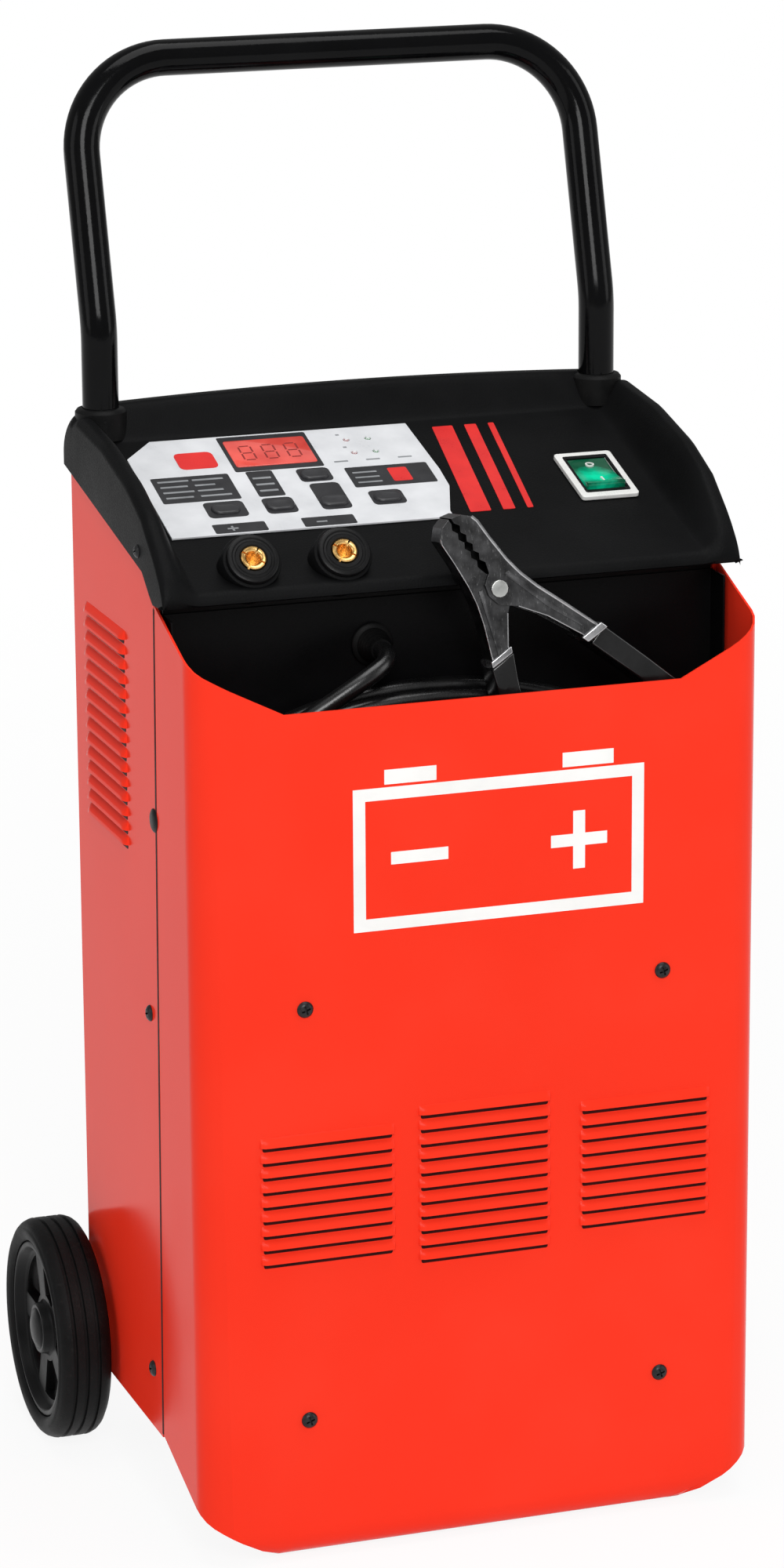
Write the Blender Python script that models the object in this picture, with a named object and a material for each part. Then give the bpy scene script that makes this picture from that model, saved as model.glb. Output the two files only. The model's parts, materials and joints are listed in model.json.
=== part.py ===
"""A wheeled garage battery charger: red sheet-metal cabinet, black console, tube handle,
two wheels on an axle, transformer and rectifier inside, and one clamp lead in the front pocket.

Sizes are metres. X runs to the right, Y to the back and Z up; the front faces -Y and the unit
stands on Z = 0. Depths are measured back from the front sheet and turned into Y by at().
"""

import math

import bmesh
import bpy
from mathutils import Matrix, Vector

# ---- Cabinet -------------------------------------------------------------------------------
WIDTH = 0.320
REAR_FLANGE_DEPTH = 0.2270      # outer face of the side panels' rear flanges
SHEET = 0.0012
GAP = 0.0003                    # clearance between touching pieces
CORNER_R = 0.020                # vertical front corners
SIDE_BOTTOM_Z = 0.048
REAR_FLANGE_WIDTH = 0.022
SEAM_GAP = 0.0010
SEAM_LOW = (0.0815, 0.048)      # depth and height of the seam's lower end
SEAM_HIGH = (0.0700, 0.524)
TONGUE_LENGTH = 0.026           # part of the front wrap that lies behind the side panel
POCKET_EDGE_Z = 0.475           # front lip of the cable pocket
POCKET_EDGE_HALF = 0.111
POCKET_CORNER_SLOPE = 0.51
WING_START_DEPTH = 0.008
WING_TOP_SLOPE = 0.355
WING_BOTTOM_SLOPE = 0.315
FOOT_CORNER_HALF = 0.115
FOOT_CORNER_SLOPE = 0.595
ROLL_R = 0.018                  # lower edge of the front sheet rolls inward
FOOT_HALF = 0.105
FOOT_FLANGE = 0.024

# ---- Louvres: pressed hoods with a slot behind each --------------------------------------
LOUVRE_PITCH = 0.0082
LOUVRE_HEIGHT = 0.0054
LOUVRE_PROUD = 0.0026
LOUVRE_WALL = 0.0009
LOUVRE_RAMP = 0.0040
LOUVRE_LENGTH = 0.0766
FRONT_LOUVRES = ((-0.0898, 0.174, 9), (-0.0008, 0.166, 11), (0.0918, 0.174, 9))
SIDE_LOUVRES = (0.1640, 0.376, 15)
REAR_SLOTS = ((-0.062, 0.190, 7), (0.062, 0.190, 7), (-0.062, 0.390, 6), (0.062, 0.390, 6))
REAR_SLOT = (0.072, 0.0036)

# ---- Wheels and axle ------------------------------------------------------------------------
WHEEL_R = 0.0634
WHEEL_DEPTH = 0.2269            # axle centre behind the front sheet
WHEEL_OUTER_X = 0.1950
WHEEL_WIDTH = 0.0310
TYRE_DEPTH = 0.0125
AXLE_R = 0.0060
AXLE_END = 0.1905
HUB_R = 0.0150
CAP_R = 0.0120
CAP_LENGTH = 0.0060
LUG_X = 0.118

# ---- Handle ---------------------------------------------------------------------------------
HANDLE_X = 0.1456
HANDLE_R = 0.0100
HANDLE_DEPTH = REAR_FLANGE_DEPTH - SHEET - GAP - HANDLE_R
HANDLE_WALL = 0.0015
HANDLE_BEND_Z = 0.6444
HANDLE_LEAN = math.radians(16.4)
HANDLE_RISE = 0.1461
HANDLE_CORNER_R = 0.052
HANDLE_FOOT_Z = 0.432
HANDLE_BOLT_Z = 0.500
M6_R = 0.0030

# ---- Console --------------------------------------------------------------------------------
CONSOLE_WALL = 0.0025
CONSOLE_HALF = WIDTH / 2 + GAP + CONSOLE_WALL
CONSOLE_FRONT = 0.0436
CONSOLE_REAR = 0.2315
SLOPE_DEPTH = 0.050             # a point on the control surface
SLOPE_Z = 0.533
SLOPE = math.radians(17.75)
CHEEK_WIDTH = 0.0218
FLOOR_HALF = CONSOLE_HALF - CHEEK_WIDTH
CHEEK_TOP_X = CONSOLE_HALF - 0.0068
CHEEK_OUTLINE = ((0.0436, 0.5335), (0.050, 0.5415), (0.059, 0.551), (0.082, 0.569), (0.110, 0.581),
                 (0.156, 0.592), (0.204, 0.597), (0.2315, 0.5975))
SKIRT_OUTLINE = ((0.0436, 0.5250), (0.064, 0.524), (0.072, 0.5305), (0.082, 0.538), (0.2315, 0.567))
RIM_TOP_DEPTH = CONSOLE_REAR - 0.0125
RIM_START = RIM_TOP_DEPTH - 0.0160
RIM_Z = 0.6045
RIM_ARCH = 0.0045
EDGE_ROUND = 0.0050
REAR_ROUND = 0.0080

# ---- Control panel, on the slope ------------------------------------------------------------
MEMBRANE_SHEET = 0.0012
MEMBRANE_LEFT = 0.0005 - FLOOR_HALF
MEMBRANE_FRONT_DEPTH = 0.1000
MEMBRANE_BACK_DEPTH = RIM_START - 0.0030
MEMBRANE_CHAMFER = 0.0175
WINDOW_LEFT = MEMBRANE_LEFT + 0.0225
WINDOW_RIGHT = 0.006
WINDOW_FRONT_DEPTH = MEMBRANE_FRONT_DEPTH + 0.0135
WINDOW_BACK_DEPTH = MEMBRANE_BACK_DEPTH - 0.0045
DISPLAY_X = -0.0600
DISPLAY_DEPTH = WINDOW_BACK_DEPTH - 0.0155
DISPLAY_SIZE = (0.0465, 0.0290)
KEY_SIZE = (0.0160, 0.0105)
KEY_TRAVEL = 0.0010
KEY_PROUD = 0.0016
KEYS = ((-0.1030, 0.1245), (-0.0723, 0.1245), (-0.0416, 0.1245), (-0.0109, 0.1245), (-0.0432, 0.1530))
LED_R = 0.0016
LEDS = ((-0.0135, DISPLAY_DEPTH + 0.0070), (-0.0010, DISPLAY_DEPTH + 0.0070),
        (-0.0135, DISPLAY_DEPTH - 0.0070), (-0.0010, DISPLAY_DEPTH - 0.0070))
SWITCH_X = 0.1123
SWITCH_DEPTH = 0.1298
SWITCH_BEZEL = (0.0336, 0.0490)
SWITCH_BODY = (0.0276, 0.0430)
ROCKER_SIZE = (0.0226, 0.0330)
ROCKER_TILT = math.radians(7.0)
BOARD_DROP = 0.0090             # top of the board below the console's outer surface
BOARD_SHEET = 0.0016

# ---- Output sockets -------------------------------------------------------------------------
SOCKET_XS = (-0.1095, -0.0590)
SOCKET_DEPTH = 0.0570
SOCKET_Z = 0.5450
SOCKET_RISE = math.radians(38.0)
BOSS_R = 0.0160
COLLAR_R = 0.0143
COLLAR_PROUD = 0.0030
BARREL_R = 0.0110
BARREL_LENGTH = 0.0220
INSERT_R = 0.0068
INSERT_BORE_R = 0.0041
STUD_R = 0.0040
STUD_LENGTH = 0.0420

# ---- Cable pocket, shelf and base -----------------------------------------------------------
POCKET_DEPTH = 0.0680
POCKET_FLOOR_Z = 0.3600
POCKET_WALL_TOP = 0.5170
POCKET_RETURN_DEPTH = 0.0500
SHELF_Z = 0.3000
SHELF_FLANGE = 0.0200
BASE_Z = 0.0500
BASE_SHEET = 0.0020
BASE_REAR_DEPTH = REAR_FLANGE_DEPTH - 0.0150
BASE_FLANGE_TOP = 0.0960
REAR_PANEL_BOTTOM = 0.0800
REAR_PANEL_TOP = 0.5780

# ---- Screws ---------------------------------------------------------------------------------
SCREW_HEAD_R = 0.0045
SCREW_HEAD = 0.0022
SCREW_R = 0.0020
SCREW_LENGTH = 0.0090
FRONT_SCREWS = ((-0.1015, 0.3138), (0.1015, 0.3138), (-0.1015, 0.0817), (0.1015, 0.0817))
SIDE_SCREWS = ((0.0910, 0.2910), (0.0975, 0.0830))

# ---- Transformer and rectifier --------------------------------------------------------------
CORE_SIZE = (0.132, 0.066, 0.110)
CORE_DEPTH = 0.118
CORE_LIMB = 0.022
COIL_SPREAD = 0.0195
STRAP_WIDTH = 0.034
STRAP_FOOT = 0.016
STRAP_SHEET = 0.0020
SINK_SIZE = (0.200, 0.005, 0.098)
SINK_DEPTH = 0.130
SINK_FINS = 11
SINK_FIN_LENGTH = 0.026
SINK_FIN_SHEET = 0.0022
DIODE_R = 0.0085
GLAND_X = 0.100
GLAND_Z = 0.135
GLAND_BORE_R = 0.0046

# ---- Clamp lead -----------------------------------------------------------------------------
LEAD_R = 0.0050
LEAD_GLAND_X = -0.0400
LEAD_GLAND_Z = 0.4920
LEAD_GLAND_LENGTH = 0.0170
COIL_CENTRE_X = -0.0120
COIL_HALF_WIDTH = 0.1180
COIL_HALF_HEIGHTS = (0.0490, 0.0525)
COIL_DEPTHS = (0.0310, 0.0615)
COIL_START = math.radians(165.0)
COIL_END = math.radians(990.0)
COIL_POINTS_PER_TURN = 24
COIL_LIFT = 0.0004
CLAMP_PIVOT = (0.0160, 0.0317, 0.5257)      # X, depth and Z
CLAMP_LEAN = 0.158                          # depth gained for each unit of height
CLAMP_AXIS = math.radians(-57.0)
ARM_WIDTH_FIXED = 0.0190
ARM_WIDTH_MOVING = 0.0148
ARM_SHEET = 0.0016
PIN_R = 0.0030
SLEEVE_WALL = 0.0013
SLEEVE_START = 0.0520
SPRING_WIRE_R = 0.0009
SPRING_R = 0.0058
SPRING_TURNS = 4
SPRING_PITCH = 0.0023

FRONT_Y = -(WHEEL_DEPTH + WHEEL_R - LOUVRE_PROUD) / 2
REAR_OUTER_DEPTH = REAR_FLANGE_DEPTH + GAP + SHEET
INNER_HALF = WIDTH / 2 - 2 * (SHEET + GAP)      # inside of the front wrap's tongues


def at(depth):
    """Y of a point this far behind the front sheet."""
    return FRONT_Y + depth


def slope_z(depth):
    """Height of the control surface at a depth."""
    return SLOPE_Z + (depth - SLOPE_DEPTH) * math.tan(SLOPE)


def seam_depth(z):
    """Depth of the leaning seam between the front wrap and a side panel."""
    share = (z - SEAM_LOW[1]) / (SEAM_HIGH[1] - SEAM_LOW[1])
    return SEAM_LOW[0] + share * (SEAM_HIGH[0] - SEAM_LOW[0])


def clear(radius, steps):
    """Radius of a faceted hole that keeps GAP to a round piece of this radius."""
    return (radius + GAP) / math.cos(math.pi / steps)


def along(outline, x):
    """Height of a broken line of (x, z) points at x."""
    for (x0, z0), (x1, z1) in zip(outline, outline[1:]):
        if x <= x1:
            return z0 + (z1 - z0) * (x - x0) / (x1 - x0)
    return outline[-1][1]


# ---- Materials ------------------------------------------------------------------------------

def material(name, colour, roughness, metallic=0.0):
    found = bpy.data.materials.get(name)
    if found:
        return found
    made = bpy.data.materials.new(name)
    made.use_nodes = True
    shader = made.node_tree.nodes["Principled BSDF"]
    shader.inputs["Base Color"].default_value = (*colour, 1.0)
    shader.inputs["Roughness"].default_value = roughness
    shader.inputs["Metallic"].default_value = metallic
    made.diffuse_color = (*colour, 1.0)
    return made


def red_paint():
    return material("red_gloss_paint", (0.85, 0.03, 0.015), 0.22)


def black_plastic():
    return material("black_moulded_plastic", (0.02, 0.02, 0.022), 0.5)


def black_sheet():
    return material("black_painted_sheet", (0.012, 0.012, 0.012), 0.45)


def black_gloss():
    return material("black_gloss_paint", (0.01, 0.01, 0.01), 0.2)


def black_rubber():
    return material("black_rubber", (0.018, 0.018, 0.018), 0.8)


def dark_steel():
    return material("blackened_steel", (0.05, 0.05, 0.05), 0.45, 1.0)


def zinc():
    return material("zinc_plated_steel", (0.6, 0.6, 0.58), 0.35, 1.0)


def brass():
    return material("turned_brass", (0.78, 0.5, 0.2), 0.3, 1.0)


def copper():
    return material("copper_strip", (0.8, 0.4, 0.25), 0.35, 1.0)


def aluminium():
    return material("extruded_aluminium", (0.75, 0.75, 0.76), 0.4, 1.0)


def clamp_steel():
    return material("pressed_clamp_steel", (0.45, 0.45, 0.46), 0.35, 1.0)


# ---- Mesh helpers ---------------------------------------------------------------------------

def add_object(name, bm, finish, parent=None, smooth=True):
    """Turn a bmesh of closed bodies into an object with outward faces."""
    bmesh.ops.recalc_face_normals(bm, faces=bm.faces[:])
    mesh = bpy.data.meshes.new(name)
    bm.to_mesh(mesh)
    bm.free()
    if smooth:
        mesh.shade_smooth()
        mesh.set_sharp_from_angle(angle=math.radians(35))
    obj = bpy.data.objects.new(name, mesh)
    bpy.context.scene.collection.objects.link(obj)
    obj.data.materials.append(finish)
    obj.parent = parent
    return obj


def add_prism(bm, outline, plane, low, high):
    """Extrude an outline in the XY, XZ or YZ plane along the third axis."""
    def point(a, b, c):
        if plane == "XY":
            return (a, b, c)
        if plane == "XZ":
            return (a, c, b)
        return (c, a, b)
    bottom = [bm.verts.new(point(a, b, low)) for a, b in outline]
    top = [bm.verts.new(point(a, b, high)) for a, b in outline]
    bm.faces.new(bottom)
    bm.faces.new(top)
    for i in range(len(outline)):
        j = (i + 1) % len(outline)
        bm.faces.new((bottom[i], bottom[j], top[j], top[i]))
    return bottom + top


def add_box(bm, low, high):
    outline = [(low[0], low[1]), (high[0], low[1]), (high[0], high[1]), (low[0], high[1])]
    return add_prism(bm, outline, "XY", low[2], high[2])


def turn_matrix(centre, axis):
    """Local Z along axis, at centre."""
    return Matrix.Translation(Vector(centre)) @ Vector(axis).to_track_quat("Z", "Y").to_matrix().to_4x4()


def add_turned(bm, profile, centre, axis, steps=24, closed=False):
    """Revolve (radius, height) points. An open profile starts and ends on the axis."""
    place = turn_matrix(centre, axis)
    rings = []
    for radius, height in profile:
        if radius == 0.0:
            rings.append([bm.verts.new(place @ Vector((0.0, 0.0, height)))])
            continue
        ring = []
        for k in range(steps):
            angle = 2 * math.pi * k / steps
            ring.append(bm.verts.new(place @ Vector((radius * math.cos(angle), radius * math.sin(angle), height))))
        rings.append(ring)
    pairs = list(zip(rings, rings[1:]))
    if closed:
        pairs.append((rings[-1], rings[0]))
    for first, second in pairs:
        for k in range(steps):
            n = (k + 1) % steps
            if len(first) == 1:
                bm.faces.new((first[0], second[k], second[n]))
            elif len(second) == 1:
                bm.faces.new((first[k], first[n], second[0]))
            else:
                bm.faces.new((first[k], first[n], second[n], second[k]))


def add_rod(bm, start, axis, radius, length, steps=16):
    add_turned(bm, [(0.0, 0.0), (radius, 0.0), (radius, length), (0.0, length)], start, axis, steps)


def sweep(bm, points, radius, sides, bore=0.0):
    """A tube along the points with flat ends; a bore makes it hollow and open."""
    points = [Vector(p) for p in points]
    tangents = []
    for i in range(len(points)):
        before = points[max(i - 1, 0)]
        after = points[min(i + 1, len(points) - 1)]
        tangents.append((after - before).normalized())
    across = tangents[0].orthogonal().normalized()
    radii = [radius, bore] if bore else [radius]
    shells = [[] for _ in radii]
    for i, (centre, tangent) in enumerate(zip(points, tangents)):
        if i:
            turn = tangents[i - 1].rotation_difference(tangent)
            across = turn @ across
        across = (across - tangent * across.dot(tangent)).normalized()
        side = tangent.cross(across)
        for shell, r in zip(shells, radii):
            ring = []
            for k in range(sides):
                angle = 2 * math.pi * k / sides
                ring.append(bm.verts.new(centre + (across * math.cos(angle) + side * math.sin(angle)) * r))
            shell.append(ring)
    for shell in shells:
        for first, second in zip(shell, shell[1:]):
            for k in range(sides):
                n = (k + 1) % sides
                bm.faces.new((first[k], first[n], second[n], second[k]))
    if bore:
        for end in (0, -1):
            for k in range(sides):
                n = (k + 1) % sides
                bm.faces.new((shells[0][end][k], shells[0][end][n], shells[1][end][n], shells[1][end][k]))
    else:
        bm.faces.new(shells[0][0])
        bm.faces.new(shells[0][-1])


def smooth_path(points, step):
    """Points about one step apart on a smooth curve through the given points."""
    points = [Vector(p) for p in points]
    knots = [points[0] * 2 - points[1]] + points + [points[-1] * 2 - points[-2]]
    path = []
    for i in range(1, len(knots) - 2):
        a, b, c, d = knots[i - 1:i + 3]
        count = max(1, round((c - b).length / step))
        for k in range(count):
            t = k / count
            path.append(0.5 * (2 * b + (c - a) * t + (2 * a - 5 * b + 4 * c - d) * t * t
                               + (3 * b - a - 3 * c + d) * t ** 3))
    path.append(points[-1])
    return path


def arc(centre, radius, start, end, steps):
    """Points on an arc in a plane, angles in degrees."""
    found = []
    for k in range(steps + 1):
        angle = math.radians(start + (end - start) * k / steps)
        found.append((centre[0] + radius * math.cos(angle), centre[1] + radius * math.sin(angle)))
    return found


def rounded_rect(cx, cy, width, height, radius, steps=3):
    """Outline of a rectangle with round corners, anticlockwise."""
    points = []
    for sx, sy, start in ((1, 1, 0), (-1, 1, 90), (-1, -1, 180), (1, -1, 270)):
        centre = (cx + sx * (width / 2 - radius), cy + sy * (height / 2 - radius))
        points += arc(centre, radius, start, start + 90, steps)
    return points


def hex_outline(radius, turn=0.0):
    return [(radius * math.cos(math.radians(60 * k + turn)), radius * math.sin(math.radians(60 * k + turn)))
            for k in range(6)]


def boolean(obj, bm, operation, label, parent=None, solver="EXACT"):
    """Cut or join a set of closed bodies, kept as a hidden guide."""
    tool = add_object(obj.name + "_" + label, bm, obj.data.materials[0], parent, smooth=False)
    tool.hide_render = True
    tool.display_type = "WIRE"
    change = obj.modifiers.new(label, "BOOLEAN")
    change.operation = operation
    change.solver = solver
    change.object = tool


def cut(obj, bm, label, parent=None, solver="EXACT"):
    boolean(obj, bm, "DIFFERENCE", label, parent, solver)


def join(obj, bm, label, parent=None, solver="EXACT"):
    boolean(obj, bm, "UNION", label, parent, solver)


def empty(name, matrix):
    guide = bpy.data.objects.new(name, None)
    bpy.context.scene.collection.objects.link(guide)
    guide.matrix_world = matrix
    return guide


# ---- Louvres --------------------------------------------------------------------------------

def louvre_section(share):
    """Cross-section of a hood as (out, height) points; share sinks its ends into the sheet."""
    root = -0.6 * SHEET
    full = [(root, LOUVRE_HEIGHT), (LOUVRE_PROUD, 0.0), (LOUVRE_PROUD - LOUVRE_WALL, 0.0),
            (root, LOUVRE_HEIGHT - 1.7 * LOUVRE_WALL)]
    return [(root + (out - root) * share, height) for out, height in full]


def louvre_bodies(place, start, bottom, rows):
    """Hoods and slots for a column of louvres. place(length, out, z) gives a point."""
    hoods = bmesh.new()
    slots = bmesh.new()
    stations = ((0.0, 0.1), (LOUVRE_RAMP, 1.0), (LOUVRE_LENGTH - LOUVRE_RAMP, 1.0), (LOUVRE_LENGTH, 0.1))
    inset = 1.1 * LOUVRE_RAMP
    for row in range(rows):
        z = bottom + row * LOUVRE_PITCH
        rings = []
        for length, share in stations:
            rings.append([hoods.verts.new(place(start + length, out, z + height))
                          for out, height in louvre_section(share)])
        hoods.faces.new(rings[0])
        hoods.faces.new(rings[-1])
        for first, second in zip(rings, rings[1:]):
            for k in range(len(first)):
                n = (k + 1) % len(first)
                hoods.faces.new((first[k], first[n], second[n], second[k]))
        low, high = z + 0.0001, z + LOUVRE_HEIGHT - 2.3 * LOUVRE_WALL
        corners = []
        for out in (-3 * SHEET, 0.5 * SHEET):
            for length, height in ((inset, low), (LOUVRE_LENGTH - inset, low),
                                   (LOUVRE_LENGTH - inset, high), (inset, high)):
                corners.append(slots.verts.new(place(start + length, out, height)))
        for face in ((0, 1, 2, 3), (4, 5, 6, 7), (0, 1, 5, 4), (1, 2, 6, 5), (2, 3, 7, 6), (3, 0, 4, 7)):
            slots.faces.new([corners[k] for k in face])
    return hoods, slots


def merge_into(target, source):
    """Copy all of one bmesh into another."""
    mesh = bpy.data.meshes.new("merge")
    source.to_mesh(mesh)
    source.free()
    target.from_mesh(mesh)
    bpy.data.meshes.remove(mesh)


def press_louvres(obj, holes, groups):
    """Cut the holes and slots, then add the hoods. groups: (place, start, bottom, rows) of each column."""
    all_hoods = bmesh.new()
    for group in groups:
        hoods, slots = louvre_bodies(*group)
        merge_into(all_hoods, hoods)
        merge_into(holes, slots)
    cut(obj, holes, "holes")
    join(obj, all_hoods, "hoods", solver="MANIFOLD")


# ---- Cabinet --------------------------------------------------------------------------------

def wrap_top(x, depth):
    rise = POCKET_CORNER_SLOPE * max(0.0, abs(x) - POCKET_EDGE_HALF)
    return POCKET_EDGE_Z + rise + WING_TOP_SLOPE * max(0.0, depth - WING_START_DEPTH)


def wrap_bottom(x, depth):
    rise = FOOT_CORNER_SLOPE * max(0.0, abs(x) - FOOT_CORNER_HALF)
    return rise + WING_BOTTOM_SLOPE * max(0.0, depth - WING_START_DEPTH)


def wrap_columns():
    """(x, depth, share of the way to the seam, step behind the seam) from left to right."""
    half = WIDTH / 2
    right = [(x, 0.0, None, 0.0) for x in (0.0, FOOT_HALF, POCKET_EDGE_HALF, 0.1165, 0.128, half - CORNER_R)]
    for x, depth in arc((half - CORNER_R, CORNER_R), CORNER_R, -90, 0, 6)[1:]:
        right.append((x, depth, None, 0.0))
    right.append((half, CORNER_R, 0.5, 0.0))
    right.append((half, CORNER_R, 1.0, -SEAM_GAP / 2))
    inner = half - SHEET - GAP
    right.append((inner, CORNER_R, 1.0, -SEAM_GAP / 2 + 0.0004))
    right.append((inner, CORNER_R, 1.0, TONGUE_LENGTH))
    left = [(-x, depth, share, step) for x, depth, share, step in reversed(right[1:])]
    return left + right


def front_panel():
    roll_rows = 6
    columns = wrap_columns()
    bm = bmesh.new()
    grid = []
    for x, depth, share, step in columns:
        low_depth = depth if share is None else depth + share * (SEAM_LOW[0] - depth)
        high_depth = depth if share is None else depth + share * (SEAM_HIGH[0] - depth)
        bottom = wrap_bottom(x, low_depth)
        top = wrap_top(x, high_depth)
        if share is not None:
            bottom = max(bottom, wrap_bottom(WIDTH / 2, low_depth))
            top = max(top, wrap_top(WIDTH / 2, high_depth))
        column = []
        rolled = depth == 0.0 and bottom < ROLL_R - 0.002
        start = math.asin(1 - bottom / ROLL_R) if rolled else 0.0
        for row in range(roll_rows):
            if rolled:
                angle = start * (1 - row / (roll_rows - 1))
                column.append((x, ROLL_R * (1 - math.cos(angle)), ROLL_R * (1 - math.sin(angle))))
            else:
                column.append((x, depth, bottom + 0.0012 * row))
        column.append((x, depth, top))
        placed = []
        for px, pd, pz in column:
            if share is not None:
                pd = depth + share * (seam_depth(pz) - depth) + step
            placed.append(bm.verts.new((px, at(pd), pz)))
        grid.append(placed)
    for first, second in zip(grid, grid[1:]):
        for row in range(roll_rows):
            bm.faces.new((first[row], second[row], second[row + 1], first[row + 1]))
    foot = [k for k, column in enumerate(columns) if abs(column[0]) <= FOOT_HALF + 1e-6 and column[1] == 0.0]
    ends = [bm.verts.new((columns[k][0], at(ROLL_R + FOOT_FLANGE), 0.0)) for k in foot]
    for a, b, end_a, end_b in zip(foot, foot[1:], ends, ends[1:]):
        bm.faces.new((end_a, end_b, grid[b][0], grid[a][0]))
    mesh = bpy.data.meshes.new("front_panel")
    bm.to_mesh(mesh)
    bm.free()
    mesh.shade_smooth()
    mesh.set_sharp_from_angle(angle=math.radians(35))
    obj = bpy.data.objects.new("front_panel", mesh)
    bpy.context.scene.collection.objects.link(obj)
    mesh.materials.append(red_paint())
    wall = obj.modifiers.new("wall", "SOLIDIFY")
    wall.thickness = SHEET
    wall.offset = -1.0
    wall.use_even_offset = True

    def place(length, out, z):
        return (length, at(-out), z)
    holes = bmesh.new()
    for x, z in FRONT_SCREWS:
        add_rod(holes, (x, at(-0.004), z), (0, 1, 0), SCREW_R + GAP, 0.010, 10)
    for side in (-1, 1):
        for depth, z in SIDE_SCREWS:
            add_rod(holes, (side * (WIDTH / 2 - 0.004), at(depth), z), (side, 0, 0), SCREW_R + GAP, 0.008, 10)
    press_louvres(obj, holes, [(place, centre - LOUVRE_LENGTH / 2, z, rows) for centre, z, rows in FRONT_LOUVRES])
    return obj


def side_panel(name, side):
    half = WIDTH / 2
    outline = [(half, at(0.055)), (half, at(REAR_FLANGE_DEPTH)), (half - REAR_FLANGE_WIDTH, at(REAR_FLANGE_DEPTH)),
               (half - REAR_FLANGE_WIDTH, at(REAR_FLANGE_DEPTH - SHEET)),
               (half - SHEET, at(REAR_FLANGE_DEPTH - SHEET)), (half - SHEET, at(0.055))]
    bm = bmesh.new()
    add_prism(bm, [(side * x, y) for x, y in outline], "XY", SIDE_BOTTOM_Z, 0.590)
    centre, bottom, rows = SIDE_LOUVRES
    for z in (0.120, 0.250, bottom - 0.005, bottom + rows * LOUVRE_PITCH + 0.004):
        bmesh.ops.bisect_plane(bm, geom=bm.verts[:] + bm.edges[:] + bm.faces[:], plane_co=(0.0, 0.0, z),
                               plane_no=(0.0, 0.0, 1.0))
    obj = add_object(name, bm, red_paint())
    edges = bmesh.new()
    cover = 0.006
    top_front = (0.040, along(SKIRT_OUTLINE, 0.072) + cover - 0.0094)
    top = [(at(top_front[0]), top_front[1]), (at(0.082), along(SKIRT_OUTLINE, 0.082) + cover),
           (at(0.260), along(SKIRT_OUTLINE, 0.2315) + cover + 0.0056), (at(0.260), 0.640), (at(0.040), 0.640)]
    low, high = sorted((side * (half + 0.02), side * (half - 0.05)))
    add_prism(edges, top, "YZ", low, high)
    cut(obj, edges, "top_edge")
    seam = bmesh.new()
    line = [(at(seam_depth(0.0) + SEAM_GAP / 2), 0.0), (at(seam_depth(0.70) + SEAM_GAP / 2), 0.70),
            (at(0.0), 0.70), (at(0.0), 0.0)]
    add_prism(seam, line, "YZ", low, high)
    cut(obj, seam, "seam_edge")
    holes = bmesh.new()
    add_rod(holes, (side * (half - 0.06), at(WHEEL_DEPTH), WHEEL_R), (side, 0, 0), AXLE_R + 0.0015, 0.08, 20)
    for depth, z in SIDE_SCREWS:
        add_rod(holes, (side * (half - 0.006), at(depth), z), (side, 0, 0), SCREW_R + GAP, 0.010, 10)
    add_rod(holes, (side * HANDLE_X, at(0.220), HANDLE_BOLT_Z), (0, 1, 0), M6_R + GAP, 0.012, 12)

    def place(length, out, z):
        return (side * (half + out), at(length), z)
    press_louvres(obj, holes, [(place, centre - LOUVRE_LENGTH / 2, bottom, rows)])
    return obj


def rear_panel():
    half = WIDTH / 2 - 0.0025
    outer = at(REAR_OUTER_DEPTH)
    inner = at(REAR_OUTER_DEPTH - SHEET)
    fold = at(BASE_REAR_DEPTH + 0.001)
    outline = [(outer, REAR_PANEL_BOTTOM), (outer, REAR_PANEL_TOP), (inner, REAR_PANEL_TOP),
               (inner, REAR_PANEL_BOTTOM + SHEET), (fold, REAR_PANEL_BOTTOM + SHEET), (fold, REAR_PANEL_BOTTOM)]
    bm = bmesh.new()
    add_prism(bm, outline, "YZ", -half, half)
    obj = add_object("rear_panel", bm, red_paint())
    notch = bmesh.new()
    for side in (-1, 1):
        low, high = sorted((side * (WIDTH / 2 - REAR_FLANGE_WIDTH - 0.001), side * WIDTH))
        add_box(notch, (low, at(0.200), 0.070), (high, inner + GAP, REAR_PANEL_BOTTOM + 0.010))
    cut(obj, notch, "flange_notches")
    holes = bmesh.new()
    for side in (-1, 1):
        add_rod(holes, (side * HANDLE_X, at(0.222), HANDLE_BOLT_Z), (0, 1, 0), M6_R + GAP, 0.012, 12)
    add_rod(holes, (GLAND_X, at(0.222), GLAND_Z), (0, 1, 0), clear(0.0080, 14), 0.012, 14)
    for centre, bottom, rows in REAR_SLOTS:
        for row in range(rows):
            z = bottom + row * LOUVRE_PITCH
            add_box(holes, (centre - REAR_SLOT[0] / 2, inner - 0.004, z),
                    (centre + REAR_SLOT[0] / 2, outer + 0.004, z + REAR_SLOT[1]))
    cut(obj, holes, "holes")
    return obj


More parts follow.
